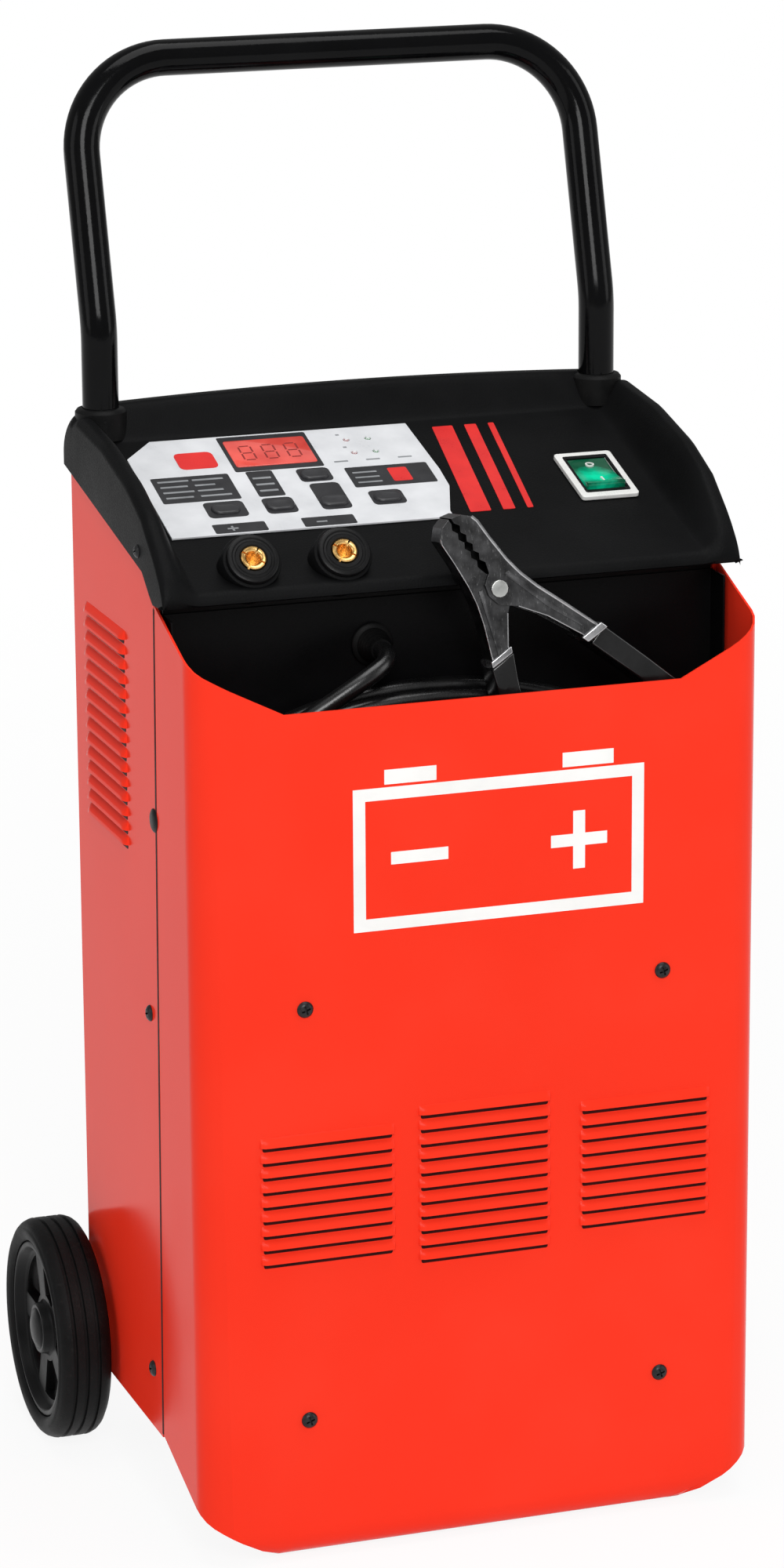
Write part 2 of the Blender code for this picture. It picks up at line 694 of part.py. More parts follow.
def base_plate():
    """Folded tray that carries the transformer, with two lugs at the back for the axle."""
    bm = bmesh.new()
    front = 0.0012 + GAP
    outline = [(at(front), BASE_Z), (at(BASE_REAR_DEPTH), BASE_Z), (at(BASE_REAR_DEPTH), BASE_FLANGE_TOP),
               (at(BASE_REAR_DEPTH - BASE_SHEET), BASE_FLANGE_TOP),
               (at(BASE_REAR_DEPTH - BASE_SHEET), BASE_Z + BASE_SHEET),
               (at(front + BASE_SHEET), BASE_Z + BASE_SHEET), (at(front + BASE_SHEET), BASE_FLANGE_TOP),
               (at(front), BASE_FLANGE_TOP)]
    half = INNER_HALF - GAP
    add_prism(bm, outline, "YZ", -half, half)
    obj = add_object("base_plate", bm, zinc())
    corners = bmesh.new()
    for side in (-1, 1):
        low, high = sorted((side * (WIDTH / 2 - CORNER_R - 0.001), side * WIDTH))
        add_box(corners, (low, at(-0.01), 0.02), (high, at(CORNER_R), 0.15))
    cut(obj, corners, "corner_reliefs")
    flanges = bmesh.new()
    for side in (-1, 1):
        low, high = sorted((side * (half - BASE_SHEET), side * half))
        add_box(flanges, (low, at(0.070), BASE_Z + 0.0005), (high, at(0.205), BASE_FLANGE_TOP))
    join(obj, flanges, "side_flanges")
    lugs = bmesh.new()
    bottom, top = BASE_Z + 0.001, REAR_PANEL_BOTTOM - 0.001
    outline = [(at(BASE_REAR_DEPTH - 0.0008), bottom)]
    outline += [(at(a), b) for a, b in arc((WHEEL_DEPTH, WHEEL_R), WHEEL_R - bottom, -90, 72, 9)]
    outline += [(at(WHEEL_DEPTH), top), (at(BASE_REAR_DEPTH - 0.0008), top)]
    for side in (-1, 1):
        low, high = sorted((side * LUG_X, side * (LUG_X + BASE_SHEET)))
        add_prism(lugs, outline, "YZ", low, high)
    join(obj, lugs, "axle_lugs")
    holes = bmesh.new()
    for side in (-1, 1):
        add_rod(holes, (side * (LUG_X - 0.01), at(WHEEL_DEPTH), WHEEL_R), (side, 0, 0), AXLE_R + GAP, 0.02, 20)
    for x, z in FRONT_SCREWS[2:]:
        add_rod(holes, (x, at(-0.002), z), (0, 1, 0), SCREW_R + GAP, 0.010, 10)
    for side in (-1, 1):
        depth, z = SIDE_SCREWS[1]
        add_rod(holes, (side * (half - 0.004), at(depth), z), (side, 0, 0), SCREW_R + GAP, 0.010, 10)
    cut(obj, holes, "screw_holes")
    return obj


def component_shelf():
    """Folded sheet over the transformer: it carries the rectifier and the pocket's floor."""
    bm = bmesh.new()
    front = 0.0012 + GAP
    outline = [(at(front), SHELF_Z), (at(0.2245), SHELF_Z), (at(0.2245), SHELF_Z + SHEET),
               (at(front + SHEET), SHELF_Z + SHEET), (at(front + SHEET), POCKET_FLOOR_Z - SHEET - GAP),
               (at(front), POCKET_FLOOR_Z - SHEET - GAP)]
    half = INNER_HALF - GAP
    add_prism(bm, outline, "YZ", -half, half)
    obj = add_object("component_shelf", bm, zinc())
    corners = bmesh.new()
    for side in (-1, 1):
        low, high = sorted((side * (WIDTH / 2 - CORNER_R - 0.001), side * WIDTH))
        add_box(corners, (low, at(-0.01), 0.29), (high, at(CORNER_R), 0.37))
    cut(obj, corners, "corner_reliefs")
    flanges = bmesh.new()
    for side in (-1, 1):
        low, high = sorted((side * (half - SHEET), side * half))
        add_box(flanges, (low, at(0.074), SHELF_Z - SHELF_FLANGE), (high, at(0.222), SHELF_Z + 0.0006))
    join(obj, flanges, "side_flanges")
    holes = bmesh.new()
    for x, z in FRONT_SCREWS[:2]:
        add_rod(holes, (x, at(-0.002), z), (0, 1, 0), SCREW_R + GAP, 0.010, 10)
    for side in (-1, 1):
        depth, z = SIDE_SCREWS[0]
        add_rod(holes, (side * (half - 0.004), at(depth), z), (side, 0, 0), SCREW_R + GAP, 0.010, 10)
    for x in (-0.070, -0.020, 0.030, 0.080):
        add_box(holes, (x - 0.018, at(0.155), 0.290), (x + 0.018, at(0.200), 0.310))
    cut(obj, holes, "holes")
    return obj


def cable_pocket():
    """Black folded liner: back wall, side returns and the floor that the lead lies on."""
    half = INNER_HALF - GAP
    wall = SHEET
    bm = bmesh.new()
    outline = [(-half, at(POCKET_RETURN_DEPTH)), (-half + wall, at(POCKET_RETURN_DEPTH)),
               (-half + wall, at(POCKET_DEPTH)), (half - wall, at(POCKET_DEPTH)),
               (half - wall, at(POCKET_RETURN_DEPTH)), (half, at(POCKET_RETURN_DEPTH)),
               (half, at(POCKET_DEPTH + wall)), (-half, at(POCKET_DEPTH + wall))]
    add_prism(bm, outline, "XY", SHELF_Z + SHEET + GAP, POCKET_WALL_TOP)
    obj = add_object("cable_pocket", bm, black_sheet())
    corners = bmesh.new()
    for side in (-1, 1):
        low, high = sorted((side * (half - wall - 0.0005), side * WIDTH))
        add_box(corners, (low, at(0.03), 0.29), (high, at(POCKET_DEPTH + wall - 0.0004), POCKET_FLOOR_Z - 0.02))
    cut(obj, corners, "lower_reliefs")
    floor = bmesh.new()
    front = 0.0012 + GAP
    inner = WIDTH / 2 - CORNER_R
    plan = [(-inner, at(front)), (inner, at(front))]
    reach = CORNER_R - SHEET - 2 * GAP
    plan += [(x, y) for x, y in arc((inner, at(CORNER_R)), reach, -75, -15, 4)]
    plan += [(half - 0.0004, at(POCKET_RETURN_DEPTH * 0.6)), (half - 0.0004, at(POCKET_DEPTH + 0.0006)),
             (-half + 0.0004, at(POCKET_DEPTH + 0.0006)), (-half + 0.0004, at(POCKET_RETURN_DEPTH * 0.6))]
    plan += [(x, y) for x, y in arc((-inner, at(CORNER_R)), reach, -165, -105, 4)]
    add_prism(floor, plan, "XY", POCKET_FLOOR_Z - SHEET, POCKET_FLOOR_Z)
    join(obj, floor, "floor")
    hole = bmesh.new()
    add_rod(hole, (LEAD_GLAND_X, at(POCKET_DEPTH - 0.01), LEAD_GLAND_Z), (0, 1, 0), clear(0.0085, 14), 0.02, 14)
    cut(obj, hole, "gland_hole")
    return obj


# ---- Console --------------------------------------------------------------------------------

def console_height(x, depth):
    """Height of the moulding's top: sloping floor, raised cheeks and rear rim, round edges."""
    side = abs(x)
    floor = slope_z(depth)
    cheek = along(CHEEK_OUTLINE, depth) - floor
    across = min(1.0, max(0.0, (side - FLOOR_HALF) / (CHEEK_TOP_X - FLOOR_HALF)))
    back = min(1.0, max(0.0, (depth - RIM_START) / (RIM_TOP_DEPTH - RIM_START)))
    rim = RIM_Z - RIM_ARCH * (side / CONSOLE_HALF) ** 2 - floor
    blend = (1 - math.cos(math.pi * across)) / 2
    lift = (1 - math.cos(math.pi * back)) / 2
    height = floor + max(cheek * blend, rim * lift)
    height -= edge_drop(side - (CONSOLE_HALF - EDGE_ROUND), EDGE_ROUND)
    height -= edge_drop(CONSOLE_FRONT + EDGE_ROUND - depth, EDGE_ROUND)
    height -= edge_drop(depth - (CONSOLE_REAR - REAR_ROUND), REAR_ROUND)
    corner = max(0.0, side - 0.150) / 0.0128 * max(0.0, depth - 0.205) / 0.0265
    return height - 0.013 * min(1.0, corner) ** 1.2


def edge_drop(past, radius):
    share = min(1.0, max(0.0, past / radius))
    return radius * (1 - math.sqrt(1 - share * share))


def console():
    depths = [CONSOLE_FRONT, CONSOLE_FRONT + 0.0014, CONSOLE_FRONT + EDGE_ROUND, 0.059, 0.082, 0.110, 0.156,
              RIM_START, RIM_START + 0.005, RIM_START + 0.010, RIM_TOP_DEPTH, RIM_TOP_DEPTH + 0.0060,
              CONSOLE_REAR - 0.0023, CONSOLE_REAR]
    cheek_run = CHEEK_TOP_X - FLOOR_HALF
    half_xs = [0.0, 0.070, FLOOR_HALF, FLOOR_HALF + 0.3 * cheek_run, FLOOR_HALF + cheek_run * 2 / 3, CHEEK_TOP_X,
               CONSOLE_HALF - 0.0028, CONSOLE_HALF]
    xs = [-x for x in reversed(half_xs[1:])] + half_xs
    bm = bmesh.new()
    grid = [[bm.verts.new((x, at(depth), console_height(x, depth))) for x in xs] for depth in depths]
    for first, second in zip(grid, grid[1:]):
        for k in range(len(xs) - 1):
            bm.faces.new((first[k], first[k + 1], second[k + 1], second[k]))
    rim = grid[0][:-1] + [row[-1] for row in grid[:-1]] + grid[-1][:0:-1] + [row[0] for row in grid[:0:-1]]
    lower = []
    for vert in rim:
        depth = vert.co.y - FRONT_Y
        inward = 0.0018 * (1 - min(1.0, (depth - CONSOLE_FRONT) / 0.004))
        lower.append(bm.verts.new((vert.co.x, vert.co.y + inward, along(SKIRT_OUTLINE, depth))))
    for k in range(len(rim)):
        n = (k + 1) % len(rim)
        bm.faces.new((rim[n], rim[k], lower[k], lower[n]))
    mesh = bpy.data.meshes.new("console")
    bm.to_mesh(mesh)
    bm.free()
    mesh.shade_smooth()
    mesh.set_sharp_from_angle(angle=math.radians(40))
    obj = bpy.data.objects.new("console", mesh)
    bpy.context.scene.collection.objects.link(obj)
    mesh.materials.append(black_plastic())
    wall = obj.modifiers.new("wall", "SOLIDIFY")
    wall.thickness = CONSOLE_WALL
    wall.offset = -1.0
    wall.use_even_offset = False
    bosses = bmesh.new()
    bores = bmesh.new()
    for x in SOCKET_XS:
        add_rod(bosses, socket_point(x, 0.0), socket_axis(), BOSS_R, 0.020, 20)
        add_rod(bores, socket_point(x, -0.02), socket_axis(), clear(BARREL_R, 16), 0.060, 16)
    join(obj, bosses, "socket_bosses")
    cut(obj, bores, "socket_bores", solver="MANIFOLD")
    return obj


def console_openings(obj, slope):
    """Openings for the control panel, the switch and the handle's legs."""
    openings = bmesh.new()
    add_box(openings, slope_point(WINDOW_LEFT, WINDOW_FRONT_DEPTH, -0.012),
            slope_point(WINDOW_RIGHT, WINDOW_BACK_DEPTH, 0.004))
    x, v, _ = slope_point(SWITCH_X, SWITCH_DEPTH, 0.0)
    half_w = SWITCH_BODY[0] / 2 + GAP
    half_v = SWITCH_BODY[1] / 2 + GAP
    add_box(openings, (x - half_w, v - half_v, -0.012), (x + half_w, v + half_v, 0.006))
    cut(obj, openings, "panel_openings", slope, "MANIFOLD")
    holes = bmesh.new()
    for side in (-1, 1):
        add_rod(holes, (side * HANDLE_X, at(HANDLE_DEPTH), 0.540), (0, 0, 1), clear(HANDLE_R, 12), 0.100, 12)
    cut(obj, holes, "leg_holes", solver="MANIFOLD")


def slope_point(x, depth, lift):
    """A point in the slope's own frame: x, distance up the slope, distance above it."""
    return (x, (depth - SLOPE_DEPTH) / math.cos(SLOPE), lift)


def slope_frame():
    place = Matrix.Translation((0.0, at(SLOPE_DEPTH), SLOPE_Z)) @ Matrix.Rotation(SLOPE, 4, "X")
    return empty("slope_frame", place)


def socket_axis():
    """Into the console, away from the user."""
    return Vector((0.0, math.cos(SOCKET_RISE), -math.sin(SOCKET_RISE)))


def socket_point(x, inward):
    return Vector((x, at(SOCKET_DEPTH), SOCKET_Z)) + socket_axis() * inward


def sockets():
    for label, x in zip(("left", "right"), SOCKET_XS):
        start = socket_point(x, -COLLAR_PROUD - GAP)
        bm = bmesh.new()
        bore = clear(INSERT_R, 16)
        profile = [(bore, 0.0), (COLLAR_R - 0.0012, 0.0), (COLLAR_R, 0.0010), (COLLAR_R, COLLAR_PROUD),
                   (BARREL_R, COLLAR_PROUD), (BARREL_R, BARREL_LENGTH), (bore, BARREL_LENGTH)]
        add_turned(bm, profile, start, socket_axis(), 16, closed=True)
        add_object("socket_collar_" + label, bm, black_plastic())
        bm = bmesh.new()
        profile = [(0.0, 0.0140), (INSERT_BORE_R, 0.0140), (INSERT_BORE_R, 0.0), (INSERT_R - 0.0006, 0.0),
                   (INSERT_R, 0.0006), (INSERT_R, BARREL_LENGTH + 0.0010), (STUD_R, BARREL_LENGTH + 0.0010),
                   (STUD_R, STUD_LENGTH), (0.0, STUD_LENGTH)]
        add_turned(bm, profile, start + socket_axis() * -0.0006, socket_axis(), 14)
        add_object("socket_insert_" + label, bm, brass())


# ---- Control panel --------------------------------------------------------------------------

def membrane_panel(slope):
    left, back = slope_point(MEMBRANE_LEFT, MEMBRANE_BACK_DEPTH, 0)[:2]
    front = slope_point(0, MEMBRANE_FRONT_DEPTH, 0)[1]
    notch = slope_point(0, 0.150, 0)[1]
    outline = [(left, front), (0.0185, front), (0.0185, slope_point(0, 0.106, 0)[1]),
               (0.0272, slope_point(0, 0.1315, 0)[1]),
               (0.0279, notch), (0.0257, back), (left + MEMBRANE_CHAMFER, back), (left, back - MEMBRANE_CHAMFER)]
    bm = bmesh.new()
    add_prism(bm, outline, "XY", GAP, GAP + MEMBRANE_SHEET)
    obj = add_object("membrane_panel", bm, material("silver_label", (0.75, 0.76, 0.78), 0.35), slope, smooth=False)
    holes = bmesh.new()
    x, v, _ = slope_point(DISPLAY_X, DISPLAY_DEPTH, 0)
    add_prism(holes, rounded_rect(x, v, DISPLAY_SIZE[0] + 2 * GAP, DISPLAY_SIZE[1] + 2 * GAP, 0.0015, 1), "XY",
              -0.002, 0.006)
    for key_x, depth in KEYS:
        x, v, _ = slope_point(key_x, depth, 0)
        add_prism(holes, rounded_rect(x, v, KEY_SIZE[0] + 2 * GAP, KEY_SIZE[1] + 2 * GAP, 0.0050 + GAP, 2), "XY",
                  -0.002, 0.006)
    for led_x, depth in LEDS:
        x, v, _ = slope_point(led_x, depth, 0)
        add_rod(holes, (x, v, -0.002), (0, 0, 1), LED_R + GAP, 0.008, 8)
    cut(obj, holes, "holes", slope)
    return obj


def display_window(slope):
    x, v, _ = slope_point(DISPLAY_X, DISPLAY_DEPTH, 0)
    bm = bmesh.new()
    outline = rounded_rect(x, v, DISPLAY_SIZE[0], DISPLAY_SIZE[1], 0.0015, 1)
    add_prism(bm, outline, "XY", -0.0006, GAP + MEMBRANE_SHEET + 0.0004)
    add_object("display_window", bm, material("red_display_lens", (0.35, 0.02, 0.02), 0.15), slope, smooth=False)


def keys(slope):
    for number, (key_x, depth) in enumerate(KEYS, start=1):
        pivot = slope_point(key_x, depth, 0)
        bm = bmesh.new()
        top = GAP + MEMBRANE_SHEET + KEY_PROUD
        rings = ((0.0, 0.0, -0.0024), (0.0, 0.0, top - 0.0007), (-0.0012, -0.0012, top))
        loops = []
        for grow_x, grow_y, z in rings:
            radius = min(0.0050 + grow_y, KEY_SIZE[1] / 2 + grow_y - 0.0001)
            outline = rounded_rect(0, 0, KEY_SIZE[0] + 2 * grow_x, KEY_SIZE[1] + 2 * grow_y, radius, 2)
            loops.append([bm.verts.new((a, b, z)) for a, b in outline])
        bm.faces.new(loops[0])
        bm.faces.new(loops[-1])
        for first, second in zip(loops, loops[1:]):
            for k in range(len(first)):
                n = (k + 1) % len(first)
                bm.faces.new((first[k], first[n], second[n], second[k]))
        key = add_object("key_%d" % number, bm, black_rubber(), slope)
        key.location = pivot


def led_light_guide(slope):
    """Clear bar behind the membrane whose four pips show through it."""
    xs = [slope_point(x, depth, 0)[0] for x, depth in LEDS]
    vs = [slope_point(x, depth, 0)[1] for x, depth in LEDS]
    bm = bmesh.new()
    add_box(bm, (min(xs) - 0.003, min(vs) - 0.003, -0.0046), (max(xs) + 0.003, max(vs) + 0.003, -0.0022))
    finish = material("clear_lens", (0.7, 0.7, 0.7), 0.1)
    obj = add_object("led_light_guide", bm, finish, slope, smooth=False)
    pips = bmesh.new()
    for x, v in zip(xs, vs):
        add_turned(pips, [(0.0, -0.003), (LED_R, -0.003), (LED_R, 0.0018), (LED_R * 0.6, 0.0026), (0.0, 0.0026)],
                   (x, v, 0.0), (0, 0, 1), 8)
    join(obj, pips, "pips", slope)


def mains_switch(slope):
    x, v, _ = slope_point(SWITCH_X, SWITCH_DEPTH, 0)
    half_w, half_v = SWITCH_BEZEL[0] / 2, SWITCH_BEZEL[1] / 2
    bm = bmesh.new()
    add_prism(bm, rounded_rect(x, v, 2 * half_w, 2 * half_v, 0.0020, 2), "XY", GAP, 0.0030)
    obj = add_object("switch_housing", bm, material("white_bezel", (0.8, 0.8, 0.78), 0.35), slope, smooth=False)
    body = bmesh.new()
    add_box(body, (x - SWITCH_BODY[0] / 2, v - SWITCH_BODY[1] / 2, -0.0260),
            (x + SWITCH_BODY[0] / 2, v + SWITCH_BODY[1] / 2, 0.0010))
    join(obj, body, "body", slope)
    cavity = bmesh.new()
    add_box(cavity, (x - ROCKER_SIZE[0] / 2 - GAP, v - ROCKER_SIZE[1] / 2 - 0.0012, -0.0140),
            (x + ROCKER_SIZE[0] / 2 + GAP, v + ROCKER_SIZE[1] / 2 + 0.0012, 0.0060))
    cut(obj, cavity, "cavity", slope)
    pivot = empty("rocker_pivot", Matrix.Identity(4))
    pivot.parent = slope
    pivot.location = (x, v, -0.0010)
    pivot.rotation_euler = (-ROCKER_TILT, 0.0, 0.0)
    half = ROCKER_SIZE[1] / 2
    outline = [(-half, 0.0056), (-half * 0.5, 0.0043), (0.0, 0.0036), (half * 0.5, 0.0043), (half, 0.0056),
               (half - 0.0006, -0.0010), (half * 0.45, -0.0090), (-half * 0.45, -0.0090), (-half + 0.0006, -0.0010)]
    bm = bmesh.new()
    add_prism(bm, outline, "YZ", -ROCKER_SIZE[0] / 2, ROCKER_SIZE[0] / 2)
    add_object("switch_rocker", bm, material("green_rocker", (0.02, 0.45, 0.22), 0.25), pivot, smooth=False)


def control_board(slope):
    low = -BOARD_DROP - BOARD_SHEET
    front = slope_point(0, WINDOW_FRONT_DEPTH - 0.008, 0)[1]
    back = slope_point(0, WINDOW_BACK_DEPTH + 0.004, 0)[1]
    bm = bmesh.new()
    add_box(bm, (WINDOW_LEFT - 0.012, front, low), (WINDOW_RIGHT + 0.012, back, -BOARD_DROP))
    finish = material("green_board", (0.03, 0.22, 0.08), 0.5)
    obj = add_object("control_board", bm, finish, slope, smooth=False)
    fitted = bmesh.new()
    root = -BOARD_DROP - 0.0004
    for x in (WINDOW_LEFT - 0.007, WINDOW_RIGHT + 0.007):
        for v in (front + 0.005, back - 0.008):
            add_rod(fitted, (x, v, root), (0, 0, 1), 0.0030, -CONSOLE_WALL - 0.0008 - root, 6)
    for key_x, depth in KEYS:
        x, v, _ = slope_point(key_x, depth, 0)
        add_box(fitted, (x - 0.003, v - 0.003, root), (x + 0.003, v + 0.003, -0.0024 - KEY_TRAVEL - 0.0003))
    x, v, _ = slope_point(DISPLAY_X, DISPLAY_DEPTH, 0)
    add_box(fitted, (x - 0.021, v - 0.012, root), (x + 0.021, v + 0.012, -0.0010))
    for led_x, depth in LEDS:
        x, v, _ = slope_point(led_x, depth, 0)
        add_box(fitted, (x - 0.0014, v - 0.0014, root), (x + 0.0014, v + 0.0014, -0.0050))
    for x, v in ((-0.095, 0.110), (-0.040, 0.106)):
        add_box(fitted, (x - 0.008, v, low - 0.014), (x + 0.008, v + 0.022, low + 0.0004))
    join(obj, fitted, "fitted_parts", slope)


# ---- Handle, wheels and axle ----------------------------------------------------------------

def handle_path():
    """Right foot, up, lean back, across the top and down the left side."""
    lean_y = math.sin(HANDLE_LEAN)
    lean_z = math.cos(HANDLE_LEAN)

    def leg(x, rise):
        """A point on the leaning part, measured from its bend."""
        return (x, at(HANDLE_DEPTH) + rise * lean_y, HANDLE_BEND_Z + rise * lean_z)
    bend_r = 0.060
    tangent = bend_r * math.tan(HANDLE_LEAN / 2)
    right = [(HANDLE_X, at(HANDLE_DEPTH), HANDLE_FOOT_Z)]
    for k in range(3):
        angle = HANDLE_LEAN * k / 2
        right.append((HANDLE_X, at(HANDLE_DEPTH) + bend_r * (1 - math.cos(angle)),
                      HANDLE_BEND_Z - tangent + bend_r * math.sin(angle)))
    for k in range(6):
        angle = math.pi / 2 * k / 5
        x = HANDLE_X - HANDLE_CORNER_R * (1 - math.cos(angle))
        right.append(leg(x, HANDLE_RISE - HANDLE_CORNER_R + HANDLE_CORNER_R * math.sin(angle)))
    return right + [(-x, y, z) for x, y, z in reversed(right)]


def handle():
    bm = bmesh.new()
    sweep(bm, handle_path(), HANDLE_R, 12, HANDLE_R - HANDLE_WALL)
    tube = add_object("handle_tube", bm, black_gloss())
    holes = bmesh.new()
    rear = at(REAR_OUTER_DEPTH) + GAP
    for label, x in (("left", -HANDLE_X), ("right", HANDLE_X)):
        add_rod(holes, (x, at(HANDLE_DEPTH) - 0.015, HANDLE_BOLT_Z), (0, 1, 0), M6_R + GAP, 0.030, 12)
        bolt = bmesh.new()
        add_turned(bolt, [(0.0, -0.0045), (0.0052, -0.0040), (0.0057, 0.0), (M6_R, 0.0), (M6_R, 0.0270),
                          (0.0, 0.0270)], (x, rear, HANDLE_BOLT_Z), (0, -1, 0), 12)
        add_object("handle_bolt_" + label, bolt, dark_steel())
    cut(tube, holes, "bolt_holes")


def wheel(label, side):
    centre = (side * (WHEEL_OUTER_X - WHEEL_WIDTH / 2), at(WHEEL_DEPTH), WHEEL_R)
    half = WHEEL_WIDTH / 2
    seat = WHEEL_R - TYRE_DEPTH
    axis = (side, 0, 0)
    tyre = bmesh.new()
    profile = [(seat, -half + 0.0026), (seat + 0.0050, -half), (WHEEL_R - 0.0050, -half), (WHEEL_R, -half + 0.0065),
               (WHEEL_R, half - 0.0065), (WHEEL_R - 0.0050, half), (seat + 0.0050, half), (seat, half - 0.0026)]
    add_turned(tyre, profile, centre, axis, 28, closed=True)
    add_object("tyre_" + label, tyre, black_rubber())
    rim = bmesh.new()
    outer = seat * math.cos(math.pi / 28) - GAP
    web_out, web_in = half - 0.0085, half - 0.0145
    hub_in = -(WHEEL_OUTER_X - half - WIDTH / 2 - 2 * GAP)
    profile = [(AXLE_R + GAP, hub_in), (HUB_R, hub_in), (HUB_R, web_in),
               (outer - 0.0045, web_in), (outer - 0.0045, -half + 0.004), (outer, -half + 0.004),
               (outer, half - 0.0035), (outer - 0.0030, half - 0.0025), (outer - 0.0055, web_out),
               (HUB_R, web_out), (HUB_R - 0.0008, half - 0.0030), (AXLE_R + GAP, half - 0.0030)]
    add_turned(rim, profile, centre, axis, 28, closed=True)
    obj = add_object("wheel_rim_" + label, rim, black_plastic())
    windows = bmesh.new()
    for k in range(5):
        turn = 72.0 * k + 36.0
        inner_r, outer_r = HUB_R + 0.0045, outer - 0.0085
        outline = arc((0, 0), inner_r, turn - 17, turn + 17, 2) + arc((0, 0), outer_r, turn + 26, turn - 26, 4)
        points = [(at(WHEEL_DEPTH) + a, WHEEL_R + b) for a, b in outline]
        low, high = sorted((side * (WHEEL_OUTER_X - WHEEL_WIDTH + 0.004), side * (WHEEL_OUTER_X + 0.002)))
        add_prism(windows, points, "YZ", low, high)
    cut(obj, windows, "windows")


def axle_set():
    bm = bmesh.new()
    add_rod(bm, (-AXLE_END, at(WHEEL_DEPTH), WHEEL_R), (1, 0, 0), AXLE_R, 2 * AXLE_END, 20)
    add_object("axle", bm, zinc())
    hub_face = WHEEL_OUTER_X - 0.0030
    for label, side in (("left", -1), ("right", 1)):
        cap = bmesh.new()
        profile = [(0.0, AXLE_END + GAP), (AXLE_R, AXLE_END + GAP), (AXLE_R, hub_face + GAP), (CAP_R, hub_face + GAP),
                   (CAP_R, hub_face + 0.0012), (CAP_R * 0.65, WHEEL_OUTER_X - 0.0004), (0.0, WHEEL_OUTER_X)]
        add_turned(cap, profile, (0.0, at(WHEEL_DEPTH), WHEEL_R), (side, 0, 0), 16)
        add_object("axle_cap_" + label, cap, black_plastic())


# ---- Fasteners ------------------------------------------------------------------------------

def add_screw(bm, seat, axis, head_r=SCREW_HEAD_R, head=SCREW_HEAD, shank=SCREW_R, length=SCREW_LENGTH):
    """Domed screw; the axis points from the head into the part and the seat is under the head."""
    add_turned(bm, [(0.0, -head), (head_r * 0.55, -head * 0.9), (head_r, -head * 0.25), (head_r, 0.0),
                    (shank, 0.0), (shank, length), (0.0, length)], seat, axis, 8)


def screws():
    for number, (x, z) in enumerate(FRONT_SCREWS, start=1):
        screw = bmesh.new()
        add_screw(screw, (x, at(-GAP), z), (0, 1, 0))
        add_object("front_screw_%d" % number, screw, dark_steel())
    for label, side in (("left", -1), ("right", 1)):
        for place, (depth, z) in zip(("upper", "lower"), SIDE_SCREWS):
            screw = bmesh.new()
            add_screw(screw, (side * (WIDTH / 2 + GAP), at(depth), z), (-side, 0, 0))
            add_object("side_screw_%s_%s" % (place, label), screw, dark_steel())


# ---- Power parts inside ---------------------------------------------------------------------

def transformer():
    """Laminated core on its middle limb, two windings, and a strap with feet over the core."""
    width, depth, height = CORE_SIZE
    bottom = BASE_Z + BASE_SHEET + GAP
    y0, y1 = at(CORE_DEPTH - depth / 2), at(CORE_DEPTH + depth / 2)
    bm = bmesh.new()
    add_box(bm, (-width / 2, y0, bottom), (width / 2, y1, bottom + height))
    core = add_object("transformer_core", bm, dark_steel(), smooth=False)
    windows = bmesh.new()
    window_low, window_high = bottom + CORE_LIMB, bottom + height - CORE_LIMB
    for side in (-1, 1):
        low, high = sorted((side * CORE_LIMB, side * (width / 2 - CORE_LIMB)))
        add_box(windows, (low, y0 - 0.01, window_low), (high, y1 + 0.01, window_high))
    cut(core, windows, "windows")
    middle = (window_low + window_high) / 2
    for name, low, high in (("primary_winding", window_low + GAP, middle - GAP),
                            ("secondary_winding", middle + GAP, window_high - GAP)):
        coil = bmesh.new()
        coil_ring(coil, at(CORE_DEPTH), low, high)
        add_object(name, coil, copper(), smooth=False)
    side = width / 2 + GAP
    top = bottom + height + GAP
    foot = side + STRAP_SHEET + STRAP_FOOT
    outline = [(-foot, bottom), (-side, bottom), (-side, top), (side, top), (side, bottom), (foot, bottom),
               (foot, bottom + STRAP_SHEET), (side + STRAP_SHEET, bottom + STRAP_SHEET),
               (side + STRAP_SHEET, top + STRAP_SHEET), (-side - STRAP_SHEET, top + STRAP_SHEET),
               (-side - STRAP_SHEET, bottom + STRAP_SHEET), (-foot, bottom + STRAP_SHEET)]
    strap = bmesh.new()
    middle_y = at(CORE_DEPTH)
    add_prism(strap, outline, "XZ", middle_y - STRAP_WIDTH / 2, middle_y + STRAP_WIDTH / 2)
    add_object("transformer_strap", strap, zinc(), smooth=False)


